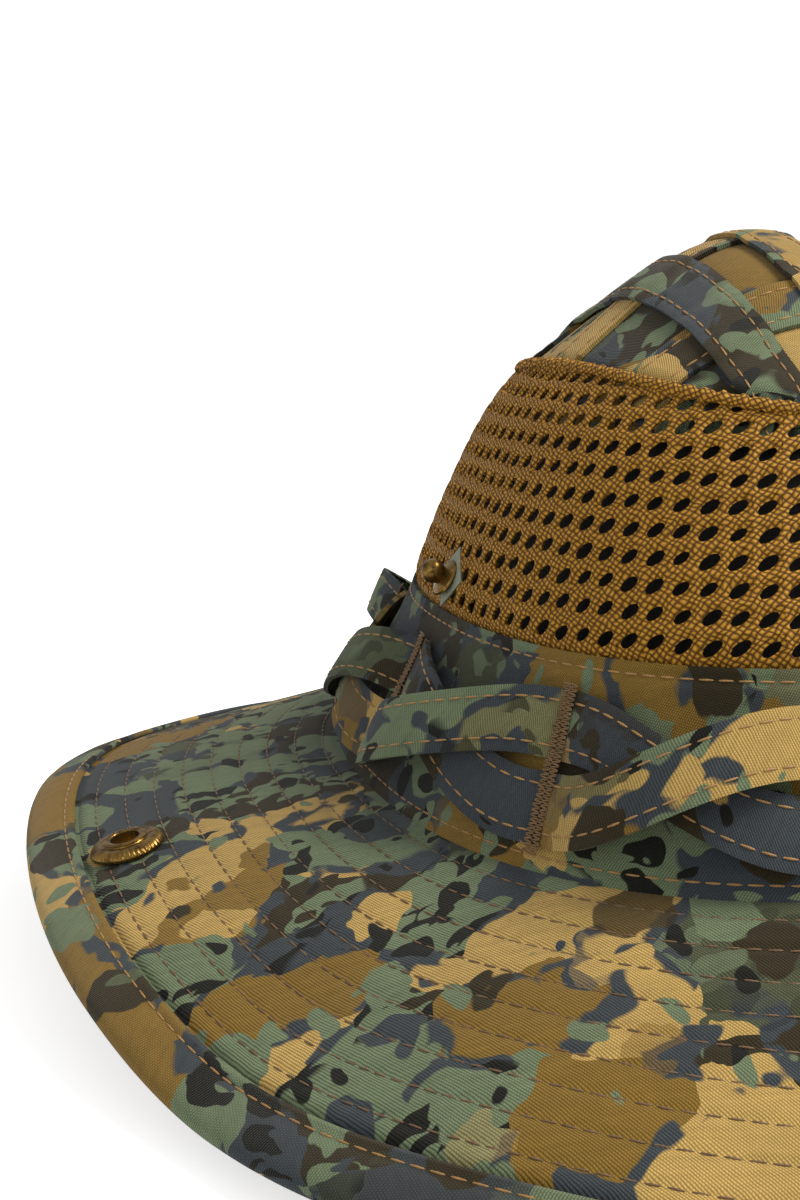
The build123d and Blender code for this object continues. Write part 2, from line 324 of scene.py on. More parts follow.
def raised(surface: Surface, a: Array, b: Array, stand: Stand, steps: tuple = SLOPE_STEPS,
           turn_over: bool = False) -> tuple:
    """Points that stand off a surface.

    Args:
        surface: the surface, of two numbers.
        a: first number of each point.
        b: second number of each point.
        stand: distance off the surface, a number or one for each point.
        steps: small changes of a and b, used for the slopes.
        turn_over: whether the normal is the other one.

    Returns:
        The points, and the normals there.
    """
    da = surface(a + steps[0], b) - surface(a - steps[0], b)
    db = surface(a, b + steps[1]) - surface(a, b - steps[1])
    normal = unit(np.cross(da, db)) * (-1 if turn_over else 1)
    return surface(a, b) + normal * np.broadcast_to(stand, a.shape)[..., None], normal


# ---------------------------------------------------------------- bench: making meshes


def clear_selection() -> None:
    """Leave edit mode and select nothing."""
    if bpy.context.object is not None and bpy.context.object.mode != "OBJECT":
        bpy.ops.object.mode_set(mode="OBJECT")
    bpy.ops.object.select_all(action="DESELECT")


def take(obj: bpy.types.Object) -> bpy.types.Object:
    """Make one object the selected and active one.

    Args:
        obj: the piece.

    Returns:
        The same object.
    """
    clear_selection()
    obj.select_set(True)
    bpy.context.view_layer.objects.active = obj
    return obj


def edit_all(obj: bpy.types.Object, *steps: Callable[[], object]) -> None:
    """Run edit-mode steps on the whole of a mesh.

    Args:
        obj: the piece.
        steps: what to run, in order.
    """
    take(obj)
    bpy.ops.object.mode_set(mode="EDIT")
    bpy.ops.mesh.select_all(action="SELECT")
    for step in steps:
        step()
    bpy.ops.object.mode_set(mode="OBJECT")


def thicken(obj: bpy.types.Object, thickness: float) -> None:
    """Give a sheet its thickness, behind its good face.

    Args:
        obj: the piece.
        thickness: of the cloth.
    """
    take(obj)
    wall = obj.modifiers.new("thickness", "SOLIDIFY")
    wall.thickness, wall.offset, wall.use_even_offset = thickness, -1.0, False
    bpy.ops.object.modifier_apply(modifier=wall.name)


def settle(obj: bpy.types.Object, name: str, angle: float = 40.0) -> bpy.types.Object:
    """Name a finished piece, put its place in its mesh and smooth it.

    Args:
        obj: the piece.
        name: name of the piece.
        angle: edges sharper than this stay sharp.

    Returns:
        The same piece.
    """
    take(obj)
    bpy.ops.object.transform_apply(location=True, rotation=True, scale=True)
    bpy.ops.object.shade_smooth_by_angle(angle=math.radians(angle))
    obj.name = obj.data.name = name
    return obj


def mesh_object(name: str, points: Array, faces: Iterable, cloth: Optional[Array] = None) -> bpy.types.Object:
    """Mesh object from points, faces and, if given, each point's place on the cloth.

    Args:
        name: name of the piece.
        points: its points.
        faces: the numbers of each face's points.
        cloth: each point's place on the cloth.

    Returns:
        The piece.
    """
    data = bpy.data.meshes.new(name)
    data.from_pydata(np.asarray(points).tolist(), [], [tuple(map(int, f)) for f in faces])
    obj = bpy.data.objects.new(name, data)
    bpy.context.scene.collection.objects.link(obj)
    if cloth is not None:
        lay_cloth(obj, cloth)
    return obj


def lay_cloth(obj: bpy.types.Object, cloth: Array) -> None:
    """Write each point's place on the cloth, in metres, as the piece's UV map.

    Args:
        obj: the piece.
        cloth: place of each point.
    """
    data = obj.data
    layer = data.uv_layers.active or data.uv_layers.new(name="cloth")
    layer.name = "cloth"
    index = np.empty(len(data.loops), int)
    data.loops.foreach_get("vertex_index", index)
    layer.data.foreach_set("uv", cloth[index].astype(np.float32).ravel())


def face_towards(obj: bpy.types.Object, facing: Facing) -> None:
    """Turn the faces of a sheet the right way.

    Args:
        obj: the piece.
        facing: which way the good face points.
    """
    data = obj.data
    count = len(data.polygons)
    normals, centres, areas = np.empty(3 * count), np.empty(3 * count), np.empty(count)
    data.polygons.foreach_get("normal", normals)
    data.polygons.foreach_get("center", centres)
    data.polygons.foreach_get("area", areas)
    normals, centres = normals.reshape(-1, 3), centres.reshape(-1, 3)
    if facing is Facing.OUT:
        agree = (normals[:, :2] * centres[:, :2]).sum(1) + normals[:, 2] * 0.02
    else:
        agree = normals[:, 2] * (1 if facing is Facing.UP else -1)
    if (agree * areas).sum() < 0:
        edit_all(obj, bpy.ops.mesh.flip_normals)


def cloth_sheet(name: str, steps: tuple, shape: Callable, facing: Facing, thickness: float,
                closed: bool = False) -> bpy.types.Object:
    """Sheet of cloth: a grid laid out by a shape, then given its thickness.

    Args:
        name: name of the piece.
        steps: faces along and across the sheet.
        shape: from two shares, along and across, to points and places on the cloth.
        facing: which way the good face points. The thickness grows behind it.
        thickness: of the cloth, in metres.
        closed: whether the sheet's ends meet, or its side meets in a pole.

    Returns:
        The finished piece.
    """
    clear_selection()
    bpy.ops.mesh.primitive_grid_add(x_subdivisions=steps[0], y_subdivisions=steps[1], size=1)
    obj = bpy.context.object
    flat = np.empty(3 * len(obj.data.vertices))
    obj.data.vertices.foreach_get("co", flat)
    flat = flat.reshape(-1, 3) + 0.5
    points, cloth = shape(flat[:, 0], flat[:, 1])
    obj.data.vertices.foreach_set("co", np.asarray(points).ravel())
    lay_cloth(obj, cloth)
    if closed:
        edit_all(obj, lambda: bpy.ops.mesh.remove_doubles(threshold=0.02 * MM))
    obj.data.update()
    face_towards(obj, facing)
    thicken(obj, thickness)
    return settle(obj, name)


def swept_strip(name: str, profile: Array, turns: Array, place: Callable, angle: float = 50.0) -> bpy.types.Object:
    """Closed profile carried along a run, with its ends shut.

    Args:
        name: name of the piece.
        profile: corners of the profile, one (across, up) each, in order.
        turns: places along the run.
        place: from turns and profile corners to points.
        angle: edges sharper than this stay sharp.

    Returns:
        The finished piece, with a cloth map of length along and length round the profile.
    """
    m, n = len(turns), len(profile)
    points = place(np.repeat(turns, n), np.tile(profile[:, 0], m), np.tile(profile[:, 1], m))
    faces = [(i * n + j, i * n + (j + 1) % n, (i + 1) * n + (j + 1) % n, (i + 1) * n + j)
             for i in range(m - 1) for j in range(n)]
    faces += [tuple(range(n)), tuple((m - 1) * n + j for j in reversed(range(n)))]
    rows = points.reshape(m, n, 3)
    cloth = np.stack([np.repeat(run_lengths(rows[:, 0]), n), np.tile(run_lengths(profile), m)], -1)
    obj = mesh_object(name, points, faces, cloth)
    edit_all(obj, lambda: bpy.ops.mesh.normals_make_consistent(inside=False))
    return settle(obj, name, angle)


@dataclass
class Stitcher:
    """Sewing thread: one stitch is modelled and copied along rows."""

    length: float = 2.7 * MM
    pitch: float = 3.3 * MM
    radius: float = 0.22 * MM
    points: list = field(default_factory=list)
    faces: list = field(default_factory=list)
    count: int = 0

    def __post_init__(self) -> None:
        """Model the one stitch, lying along X with its underside flattened."""
        clear_selection()
        bpy.ops.mesh.primitive_uv_sphere_add(segments=6, ring_count=4, radius=1)
        obj = bpy.context.object
        bpy.ops.object.mode_set(mode="EDIT")
        bpy.ops.mesh.select_all(action="SELECT")
        bpy.ops.transform.rotate(value=math.pi / 2, orient_axis="Y", center_override=(0, 0, 0))
        bpy.ops.object.mode_set(mode="OBJECT")
        self.shape = np.array([v.co for v in obj.data.vertices])
        self.shape[:, 0] = np.sign(self.shape[:, 0]) * np.abs(self.shape[:, 0]) ** 0.8
        self.loops = [tuple(p.vertices) for p in obj.data.polygons]
        bpy.data.objects.remove(obj)

    def add(self, centres: Array, along: Array, up: Array) -> None:
        """Add stitches at centres, lying along a direction, with their backs up.

        Args:
            centres: middle of each stitch.
            along: direction of each.
            up: away from the cloth.
        """
        along = unit(along)
        side = unit(np.cross(up, along))
        up = np.cross(along, side)
        body = (centres[:, None] + along[:, None] * self.shape[None, :, :1] * self.length / 2
                + side[:, None] * self.shape[None, :, 1:2] * self.radius
                + up[:, None] * self.shape[None, :, 2:] * self.radius)
        size = len(self.shape)
        for i in range(len(centres)):
            base = self.count + i * size
            self.faces.extend(tuple(base + k for k in loop) for loop in self.loops)
        self.points.append(body.reshape(-1, 3))
        self.count += len(centres) * size

    def row(self, path: Array, up: Array, sunk: float = SUNK) -> None:
        """Add a row of stitches along a dense path.

        Args:
            path: points close together.
            up: away from the cloth, at each point.
            sunk: how deep the thread lies.
        """
        lengths = run_lengths(path)
        total = max(1, int(lengths[-1] / self.pitch))
        places = (np.arange(total) + 0.5) * lengths[-1] / total

        def pick(values: Array, at: Array) -> Array:
            """Points or directions at lengths along the path."""
            return np.stack([np.interp(at, lengths, values[:, k]) for k in range(3)], -1)

        reach = self.length / 2
        ahead, behind = pick(path, places + reach), pick(path, places - reach)
        normal = unit(pick(up, places))
        self.add((ahead + behind) / 2 + normal * (self.radius * 0.35 - sunk), ahead - behind, normal)

    def sew(self, name: str) -> bpy.types.Object:
        """The piece that holds every stitch added so far."""
        return settle(mesh_object(name, np.concatenate(self.points), self.faces), name, 80)


# ---------------------------------------------------------------- finishes


def linear(red: int, green: int, blue: int) -> tuple:
    """Colour of screen numbers as linear light."""
    light = [v / 255 for v in (red, green, blue)]
    return tuple(c / 12.92 if c <= 0.04045 else ((c + 0.055) / 1.055) ** 2.4 for c in light) + (1.0,)


SAND = linear(172, 142, 80)
OCHRE = linear(120, 93, 34)
SAGE = linear(100, 113, 85)
SLATE = linear(54, 60, 64)
BARK = linear(46, 38, 18)
SOOT = linear(17, 17, 10)


class Nodes:
    """A shader node tree being filled, one call for each node."""

    def __init__(self, tree: bpy.types.NodeTree) -> None:
        """Start on a tree."""
        self.tree = tree

    def put(self, kind: str, links: Optional[dict] = None, **settings: object) -> bpy.types.Node:
        """Add a node, set its properties and fill its inputs.

        Args:
            kind: type of the node, without its prefix.
            links: values or sockets by input.
            settings: properties of the node.

        Returns:
            The node.
        """
        node = self.tree.nodes.new("ShaderNode" + kind)
        for name, value in settings.items():
            setattr(node, name, value)
        return self.fill(node, links or {})

    def fill(self, node: bpy.types.Node, links: dict) -> bpy.types.Node:
        """Link or set a node's inputs.

        Args:
            node: the node.
            links: values or sockets by input.

        Returns:
            The same node.
        """
        for name, value in links.items():
            self.feed(node.inputs[name], value)
        return node

    def feed(self, socket: Socket, value: Value) -> None:
        """Link a socket, or set it.

        Args:
            socket: the input.
            value: a socket to link, or a number or colour.
        """
        if isinstance(value, Socket):
            self.tree.links.new(value, socket)
        elif hasattr(socket.default_value, "__len__"):
            socket.default_value = tuple(value)[:len(socket.default_value)]
        else:
            socket.default_value = value

    def io(self, which: str) -> bpy.types.Node:
        """A group's input or output node."""
        return self.tree.nodes.new("NodeGroup" + which)

    def math(self, how: str, *values: Value) -> Socket:
        """One sum of numbers."""
        return self.put("Math", dict(enumerate(values)), operation=how).outputs[0]

    def move(self, how: str, *values: Value) -> Socket:
        """One sum of vectors. SCALE takes its factor last."""
        names = (0, "Scale") if how == "SCALE" else range(len(values))
        return self.put("VectorMath", dict(zip(names, values)), operation=how).outputs["Vector"]

    def blend(self, share: Value, first: Value, second: Value, how: str = "MIX") -> Socket:
        """Colours mixed by a share."""
        node = self.put("Mix", {}, data_type="RGBA", blend_type=how)
        return self.fill(node, {0: share, 6: first, 7: second}).outputs[2]

    def shaded(self, colour: Value, shade: Socket) -> Socket:
        """Colour multiplied by a shade."""
        return self.blend(1.0, colour, self.put("CombineXYZ", dict.fromkeys("XYZ", shade)).outputs[0], "MULTIPLY")

    def bump(self, height: Socket, distance: float, strength: float) -> Socket:
        """Normal from a height."""
        return self.put("Bump", {"Height": height, "Distance": distance, "Strength": strength}).outputs[0]

    def edge(self, value: Value, low: float, high: float, start: float = 0.0, end: float = 1.0) -> Socket:
        """Value brought from one range to another, held at its ends."""
        return self.put("MapRange", {"Value": value, "From Min": low, "From Max": high, "To Min": start,
                                     "To Max": end}).outputs[0]

    def noise(self, vector: Socket, scale: float, detail: float = 2.0, rough: float = 0.5,
              seed: Optional[float] = None, output: int = 0) -> Socket:
        """Noise at a place.

        Args:
            vector: the place.
            scale: of the noise.
            detail: octaves.
            rough: weight of the finer octaves.
            seed: moves the noise elsewhere.
            output: 0 for its number, 1 for its colour.

        Returns:
            The noise.
        """
        where = vector if seed is None else self.move("ADD", vector, (seed, seed * 0.7, seed * 1.3))
        return self.put("TexNoise", {"Vector": where, "Scale": scale, "Detail": detail,
                                     "Roughness": rough}).outputs[output]

    def pushed(self, vector: Socket, amount: float, scale: float, detail: float,
               seed: Optional[float] = None) -> Socket:
        """Place pushed about by noise.

        Args:
            vector: the place.
            amount: how far it is pushed.
            scale: of the noise.
            detail: octaves.
            seed: moves the noise elsewhere.

        Returns:
            The new place.
        """
        push = self.move("SUBTRACT", self.noise(vector, scale, detail, 0.5, seed, 1), (0.5, 0.5, 0.5))
        return self.move("ADD", vector, self.move("SCALE", push, amount))

    def cells(self, vector: Socket, scale: float, feature: str = "F1") -> bpy.types.Node:
        """Cell node at a place."""
        return self.put("TexVoronoi", {"Vector": vector, "Scale": scale}, feature=feature)


def new_group(name: str, inputs: dict, outputs: dict) -> tuple:
    """Shader node group with named inputs and outputs.

    Args:
        name: name of the group.
        inputs: first value of each number by name, or None for a vector.
        outputs: socket kind by name.

    Returns:
        The group, its Nodes, its input sockets by name and its output node.
    """
    group = bpy.data.node_groups.new(name, "ShaderNodeTree")
    for label, start in inputs.items():
        kind = "NodeSocketVector" if start is None else "NodeSocketFloat"
        socket = group.interface.new_socket(label, in_out="INPUT", socket_type=kind)
        if start is not None:
            socket.default_value = start
    for label, kind in outputs.items():
        group.interface.new_socket(label, in_out="OUTPUT", socket_type="NodeSocket" + kind)
    nodes = Nodes(group)
    return group, nodes, nodes.io("Input").outputs, nodes.io("Output")


class SharedGroup:
    """A shader node group that several materials use, built once."""

    name: str = ""

    def build(self) -> bpy.types.NodeTree:
        """Make the group."""
        raise NotImplementedError


@dataclass(frozen=True)
class CamouflageGroup(SharedGroup):
    """Printed pattern: big patches, smaller blobs on them, and dark hooks on the green ones."""

    name: str = "camouflage"

    def build(self) -> bpy.types.NodeTree:
        """Make the group. Its vector is in metres.

        Returns:
            The group.
        """
        group, n, start, end = new_group(self.name, {"Vector": None, "Seed": 0.0, "First": 0.0, "Spread": 1.0},
                                         {"Color": "Color"})
        seed = n.put("CombineXYZ", {"X": start["Seed"], "Y": start["Seed"]}).outputs[0]
        place = n.move("ADD", n.move("SCALE", start["Vector"], 100.0), seed)
        place = n.move("MULTIPLY", place, (1.0, 1.0, 0.0))

        def warped(amount: float, scale: float, shift: float, base: Socket = place) -> Socket:
            """Place pushed about by noise."""
            return n.pushed(base, amount, scale, 1.5, shift)

        def both(*masks: Socket) -> Socket:
            """1 where all the masks are."""
            return functools.reduce(lambda first, second: n.math("MULTIPLY", first, second), masks)

        def share(node: bpy.types.Node) -> Socket:
            """A cell's own number, from its colour."""
            return n.put("SeparateColor", {"Color": node.outputs["Color"]}).outputs[0]

        def over(value: Socket, edge: float) -> Socket:
            """1 where a value is over an edge, with a thin soft rim."""
            return n.edge(value, edge - 0.012, edge + 0.012)

        def under(value: Socket, edge: float) -> Socket:
            """1 where a value is under an edge."""
            return n.math("SUBTRACT", 1.0, over(value, edge))

        def within(value: Socket, low: float, high: float) -> Socket:
            """1 where a value is between two edges."""
            return both(over(value, low), under(value, high))

        def clouds(scale: float, shift: float, edge: float) -> Socket:
            """Mask of soft clouds."""
            return over(n.noise(place, scale, 1.0, 0.5, shift), edge)

        broad = n.move("MULTIPLY", warped(0.34, 1.7, 9.0, warped(1.9, 0.5, 3.0)), (0.78, 1.22, 1.0))
        index = n.math("MULTIPLY_ADD", share(n.cells(broad, 0.43)), start["Spread"], start["First"])
        index = n.math("FRACT", index)
        colour = SAND
        for limit, tone in ((0.25, OCHRE), (0.42, SAGE), (0.73, BARK), (0.88, SLATE)):
            colour = n.blend(over(index, limit), colour, tone)
        rim = n.cells(broad, 0.43, "DISTANCE_TO_EDGE").outputs["Distance"]
        colour = n.blend(both(under(rim, 0.06), clouds(1.1, 21.0, 0.50)), colour, SLATE)

        blobs = n.cells(warped(0.6, 1.7, 31.0, warped(1.0, 0.8, 14.0)), 0.78)
        kind, inside = share(blobs), under(blobs.outputs["Distance"], 0.50)
        for low, high, tone in ((0.42, 0.50, SLATE), (0.50, 0.61, SAGE), (0.61, 0.71, BARK), (0.71, 0.84, OCHRE),
                                (0.91, 1.1, SAND)):
            band = both(within(kind, low, high), inside)
            colour = n.blend(both(band, under(index, 0.42)) if tone is OCHRE else band, colour, tone)
        bare = n.math("SUBTRACT", 1.0, both(within(kind, 0.42, 2.0), inside))
        ground = n.math("MAXIMUM", both(within(index, 0.42, 0.73), bare), both(over(index, 0.88), under(kind, 0.42)))

        curl = n.move("MULTIPLY", warped(0.80, 1.15, 47.0), (0.66, 1.25, 1.0))
        hooks = n.cells(curl, 1.5)
        beside = n.cells(n.move("ADD", curl, (0.17, 0.19, 0.0)), 1.5)
        hook = both(under(hooks.outputs["Distance"], 0.50), over(beside.outputs["Distance"], 0.27),
                    over(share(hooks), 0.16))
        colour = n.blend(both(hook, clouds(0.42, 61.0, 0.40), ground), colour, SOOT)
        colour = n.blend(both(hook, within(index, 0.73, 0.88), clouds(0.6, 90.0, 0.46)), colour, SAGE)

        leaves = n.cells(n.move("MULTIPLY", warped(0.7, 1.1, 77.0), (1.25, 0.7, 1.0)), 1.25)
        leaf = both(under(leaves.outputs["Distance"], 0.30), over(share(leaves), 0.66))
        n.fill(end, {"Color": n.blend(leaf, colour, n.blend(over(index, 0.42), SAGE, SOOT))})
        return group


@dataclass(frozen=True)
class TwillGroup(SharedGroup):
    """Twill weave of a pitch in metres: a height, and a shade to multiply the colour by, which is painted shade in
    the hollows between threads and lighter on the thread tops, with uneven thread tone from the slubs.
    """

    name: str = "twill"

    def build(self) -> bpy.types.NodeTree:
        """Make the group.

        Returns:
            The group.
        """
        group, n, start, end = new_group(self.name, {"Vector": None, "Pitch": 0.0006, "Tilt": 0.35},
                                         {"Height": "Float", "Shade": "Float"})
        turned = n.put("VectorRotate", {"Vector": start["Vector"], "Angle": start["Tilt"]}, rotation_type="Z_AXIS")
        threads = n.move("SCALE", turned.outputs[0], n.math("DIVIDE", 1.0, start["Pitch"]))
        threads = n.pushed(threads, 1.1, 0.12, 2.0)
        u, v, _ = n.put("SeparateXYZ", {"Vector": threads}).outputs
        diagonal = n.math("ADD", u, v)
        rib = n.math("POWER", n.math("ABSOLUTE", n.math("SINE", n.math("MULTIPLY", diagonal, math.pi))), 0.8)
        stagger = n.math("MULTIPLY", n.math("FLOOR", diagonal), 1.9)
        across = n.math("MULTIPLY_ADD", n.math("SUBTRACT", u, v), math.pi * 0.9, stagger)
        knuckle = n.math("ABSOLUTE", n.math("SINE", across))
        height = n.math("MULTIPLY", rib, n.math("MULTIPLY_ADD", knuckle, 0.45, 0.55))
        slub = n.noise(n.move("MULTIPLY", threads, (0.05, 0.6, 1.0)), 1.0, 2.0, 0.6)
        # The part of the shade that comes from height is painted shade between the threads and lighter thread tops;
        # the slub part is uneven thread tone.
        shade = n.math("ADD", n.math("MULTIPLY_ADD", height, 0.80, 0.45), n.math("MULTIPLY_ADD", slub, 0.36, -0.16))
        n.fill(end, {"Height": n.math("MULTIPLY_ADD", slub, 0.25, height), "Shade": shade})
        return group


@dataclass(frozen=True)
class WearGroup(SharedGroup):
    """Fading and soiling of cloth over centimetres: a shade, and a roughness change."""

    name: str = "wear"

    def build(self) -> bpy.types.NodeTree:
        """Make the group. Its vector is in metres.

        Returns:
            The group.
        """
        group, n, start, end = new_group(self.name, {"Vector": None, "Amount": 1.0},
                                         {"Shade": "Float", "Rough": "Float"})
        broad, fine = n.noise(start["Vector"], 45.0, 3.0, 0.55), n.noise(start["Vector"], 420.0, 2.0, 0.6)
        change = n.math("ADD", n.math("MULTIPLY_ADD", broad, 0.40, -0.20), n.math("MULTIPLY_ADD", fine, 0.24, -0.12))
        n.fill(end, {"Shade": n.math("MULTIPLY_ADD", change, start["Amount"], 1.0),
                     "Rough": n.math("MULTIPLY_ADD", broad, 0.15, 0.82)})
        return group


GROUPS: dict = {}


def group_node(nodes: Nodes, maker: SharedGroup, links: dict) -> bpy.types.NodeOutputs:
    """Place a shared group in a material, building it the first time.

    Args:
        nodes: tree of the material.
        maker: what builds the group.
        links: values or sockets by input.

    Returns:
        The group's outputs.
    """
    if maker.name not in GROUPS:
        GROUPS[maker.name] = maker.build()
    node = nodes.put("Group", node_tree=GROUPS[maker.name])
    return nodes.fill(node, links).outputs


def new_material(name: str) -> tuple:
    """Material with a Principled shader.

    Args:
        name: name of the material.

    Returns:
        The material, its Nodes and its shader node.
    """
    material = bpy.data.materials.new(name)
    material.use_nodes = True
    return material, Nodes(material.node_tree), material.node_tree.nodes["Principled BSDF"]


@dataclass(frozen=True)
class PrintedCloth:
    """Cotton twill with the printed pattern, on a piece's cloth map."""

    name: str
    seed: float
    tilt: float = 0.35
    scale: float = 1.0
    turn: float = 0.0
    first: float = 0.0
    spread: float = 1.0
    pitch: float = 0.62 * MM

    def build(self) -> bpy.types.Material:
        """Make the material.

        Returns:
            The material.
        """
        material, n, shader = new_material(self.name)
        where = n.put("UVMap", uv_map="cloth").outputs[0]
        printed = n.put("Mapping", {"Vector": where, "Rotation": (0, 0, self.turn), "Scale": (self.scale,) * 3})
        pattern = group_node(n, CamouflageGroup(), {"Vector": printed.outputs[0], "Seed": self.seed,
                                                     "First": self.first, "Spread": self.spread})
        weave = group_node(n, TwillGroup(), {"Vector": where, "Pitch": self.pitch, "Tilt": self.tilt})
        wear = group_node(n, WearGroup(), {"Vector": where})
        # Colour times the weave's shade (painted shade between threads, lighter thread tops) and the wear's fading
        # and soiling.
        shade = n.math("MULTIPLY", weave["Shade"], wear["Shade"])
        n.fill(shader, {"Base Color": n.shaded(pattern["Color"], shade), "Roughness": wear["Rough"],
                        "Normal": n.bump(weave["Height"], 0.16 * MM, 0.75), "Sheen Weight": 0.10,
                        "Sheen Roughness": 0.5, "Specular IOR Level": 0.18})
        return material


@dataclass(frozen=True)
class KnitMesh:
    """Coyote warp knit: small chain loops all over its strands, its colour painted darker between the loops (painted
    shade) and lighter on their crowns (painted highlight).
    """

    name: str = "coyote_knit"
    loop: float = 0.95 * MM

    def build(self) -> bpy.types.Material:
        """Make the material.

        Returns:
            The material.
        """
        material, n, shader = new_material(self.name)
        where = n.put("UVMap", uv_map="cloth").outputs[0]
        rows = n.move("SCALE", where, 1 / self.loop)
        u, v, _ = n.put("SeparateXYZ", {"Vector": n.pushed(rows, 1.5, 0.35, 1.0)}).outputs
        slant = n.math("MULTIPLY", n.math("MULTIPLY_ADD", v, 0.55, u), math.pi * 0.8)
        other = n.math("MULTIPLY_ADD", u, -math.pi * 0.45, n.math("MULTIPLY", v, math.pi * 0.95))
        left, right = (n.math("ABSOLUTE", n.math("SINE", way)) for way in (slant, other))
        loops = n.math("POWER", n.math("MULTIPLY", left, right), 0.6)
        height = n.math("MULTIPLY_ADD", n.noise(rows, 2.6, 3.0, 0.65), 0.35, loops)
        # Colour follows the loops' height: the dark tone between the loops is painted shade, and the light tone on
        # their crowns is a painted highlight.
        share = n.edge(height, 0.15, 1.15)
        colour = n.blend(n.edge(share, 0.0, 0.5), linear(46, 28, 0), linear(126, 84, 6))
        colour = n.blend(n.edge(share, 0.55, 1.0), colour, linear(190, 138, 40))
        wear = group_node(n, WearGroup(), {"Vector": where, "Amount": 0.7})
        n.fill(shader, {"Base Color": n.shaded(colour, wear["Shade"]),
                        "Roughness": n.edge(share, 0.0, 1.0, 0.75, 0.5),
                        "Normal": n.bump(height, 0.35 * MM, 0.9), "Sheen Weight": 0.02,
                        "Specular IOR Level": 0.25})
        return material


@dataclass(frozen=True)
class PlainWeave:
    """Plain cloth of one colour, in Object coordinates: linings, thread, interlining and the near-black sheet of
    painted shade inside the crown.
    """

    name: str
    tone: tuple
    scale: float = 1400.0
    spread: float = 0.35
    rough: float = 0.85

    def build(self) -> bpy.types.Material:
        """Make the material.

        Returns:
            The material.
        """
        material, n, shader = new_material(self.name)
        where = n.put("TexCoord").outputs["Object"]
        fine = n.noise(where, self.scale, 3.0, 0.6)
        wear = group_node(n, WearGroup(), {"Vector": where})
        shade = n.math("MULTIPLY", n.math("MULTIPLY_ADD", fine, 2 * self.spread, 1 - self.spread), wear["Shade"])
        n.fill(shader, {"Base Color": n.shaded(self.tone, shade),
                        "Roughness": n.edge(fine, 0.3, 0.7, self.rough, self.rough - 0.15),
                        "Normal": n.bump(fine, 0.15 * MM, 0.7), "Sheen Weight": 0.08})
        return material


@dataclass(frozen=True)
class AntiqueBrass:
    """Dark brass, rubbed bright in places and dull brown in the others."""

    name: str = "antique_brass"

    def build(self) -> bpy.types.Material:
        """Make the material.

        Returns:
            The material.
        """
        material, n, shader = new_material(self.name)
        where = n.put("TexCoord").outputs["Object"]
        cloud, speck = n.noise(where, 420.0, 4.0, 0.6), n.noise(where, 2600.0, 2.0, 0.5)
        mask = n.edge(n.math("MULTIPLY_ADD", speck, 0.35, cloud), 0.52, 0.86)
        n.fill(shader, {"Base Color": n.blend(mask, linear(150, 118, 58), linear(66, 48, 24)),
                        "Roughness": n.edge(mask, 0.0, 1.0, 0.24, 0.5),
                        "Metallic": n.edge(mask, 0.0, 1.0, 1.0, 0.85), "Normal": n.bump(speck, 0.05 * MM, 0.4)})
        return material


@dataclass
class Finishes:
    """Every finish of the hat, built once."""

    def __post_init__(self) -> None:
        """Build the materials."""
        self.brim = PrintedCloth("camo_twill_brim", seed=117.0).build()
        self.under = PrintedCloth("camo_twill_under", seed=17.0, turn=0.6).build()
        self.binding = PrintedCloth("camo_twill_binding", seed=31.0, tilt=1.0).build()
        self.band = PrintedCloth("camo_twill_band", seed=12.6, tilt=0.2, first=0.34, spread=0.66).build()
        self.panel = PrintedCloth("camo_twill_panel", seed=23.0).build()
        self.tapes = {tone: PrintedCloth(f"camo_twill_tape_{tone}", seed=seed, tilt=1.2, first=first,
                                         spread=spread).build()
                      for tone, seed, first, spread in (("sand", 8.5, 0.0, 0.5), ("sage", 14.0, 0.42, 0.32),
                                                        ("slate", 27.0, 0.80, 0.22), ("bark", 39.0, 0.72, 0.17))}
        self.top_tape = PrintedCloth("camo_twill_top_tape", seed=52.0, scale=0.9, tilt=1.2).build()
        self.knit = KnitMesh().build()
        self.thread = PlainWeave("golden_thread", linear(150, 112, 62), 900.0, 0.45, 0.6).build()
        self.row_thread = PlainWeave("brown_thread", linear(104, 78, 50), 900.0, 0.45, 0.65).build()
        self.tack_thread = PlainWeave("tack_thread", linear(104, 76, 38), 900.0, 0.5, 0.6).build()
        self.sweatband = PlainWeave("sweatband_cloth", linear(38, 38, 30)).build()
        # Near-black sheet: painted shade that stands in for the dark inside of the crown, seen through the mesh
        # holes.
        self.net = PlainWeave("dark_net", linear(16, 15, 11), 2400.0, 0.5, 0.95).build()
        self.patch = PlainWeave("patch_cloth", linear(128, 132, 112), 1500.0, 0.4).build()
        self.lining = PlainWeave("lining_tape_cloth", linear(48, 46, 34)).build()
        self.interlining = PlainWeave("interlining_felt", linear(190, 186, 172), 500.0, 0.2).build()
        self.brass = AntiqueBrass().build()


def dress(obj: bpy.types.Object, material: Optional[bpy.types.Material], replaced: Sequence[str] = (),
          body: Optional[str] = None) -> bpy.types.Object:
    """Give a piece its material, the nodes it stands for and, if it rides, its body.

    Args:
        obj: the piece.
        material: its finish, or None where it has one.
        replaced: nodes that it stands for.
        body: what it rides on.

    Returns:
        The same piece.
    """
    if material is not None:
        obj.data.materials.clear()
        obj.data.materials.append(material)
    if replaced:
        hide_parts(*replaced)
    if body:
        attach(obj, body)
    log.info("%s: %d faces", obj.name, len(obj.data.polygons))
    return obj


# ---------------------------------------------------------------- sub-assemblies


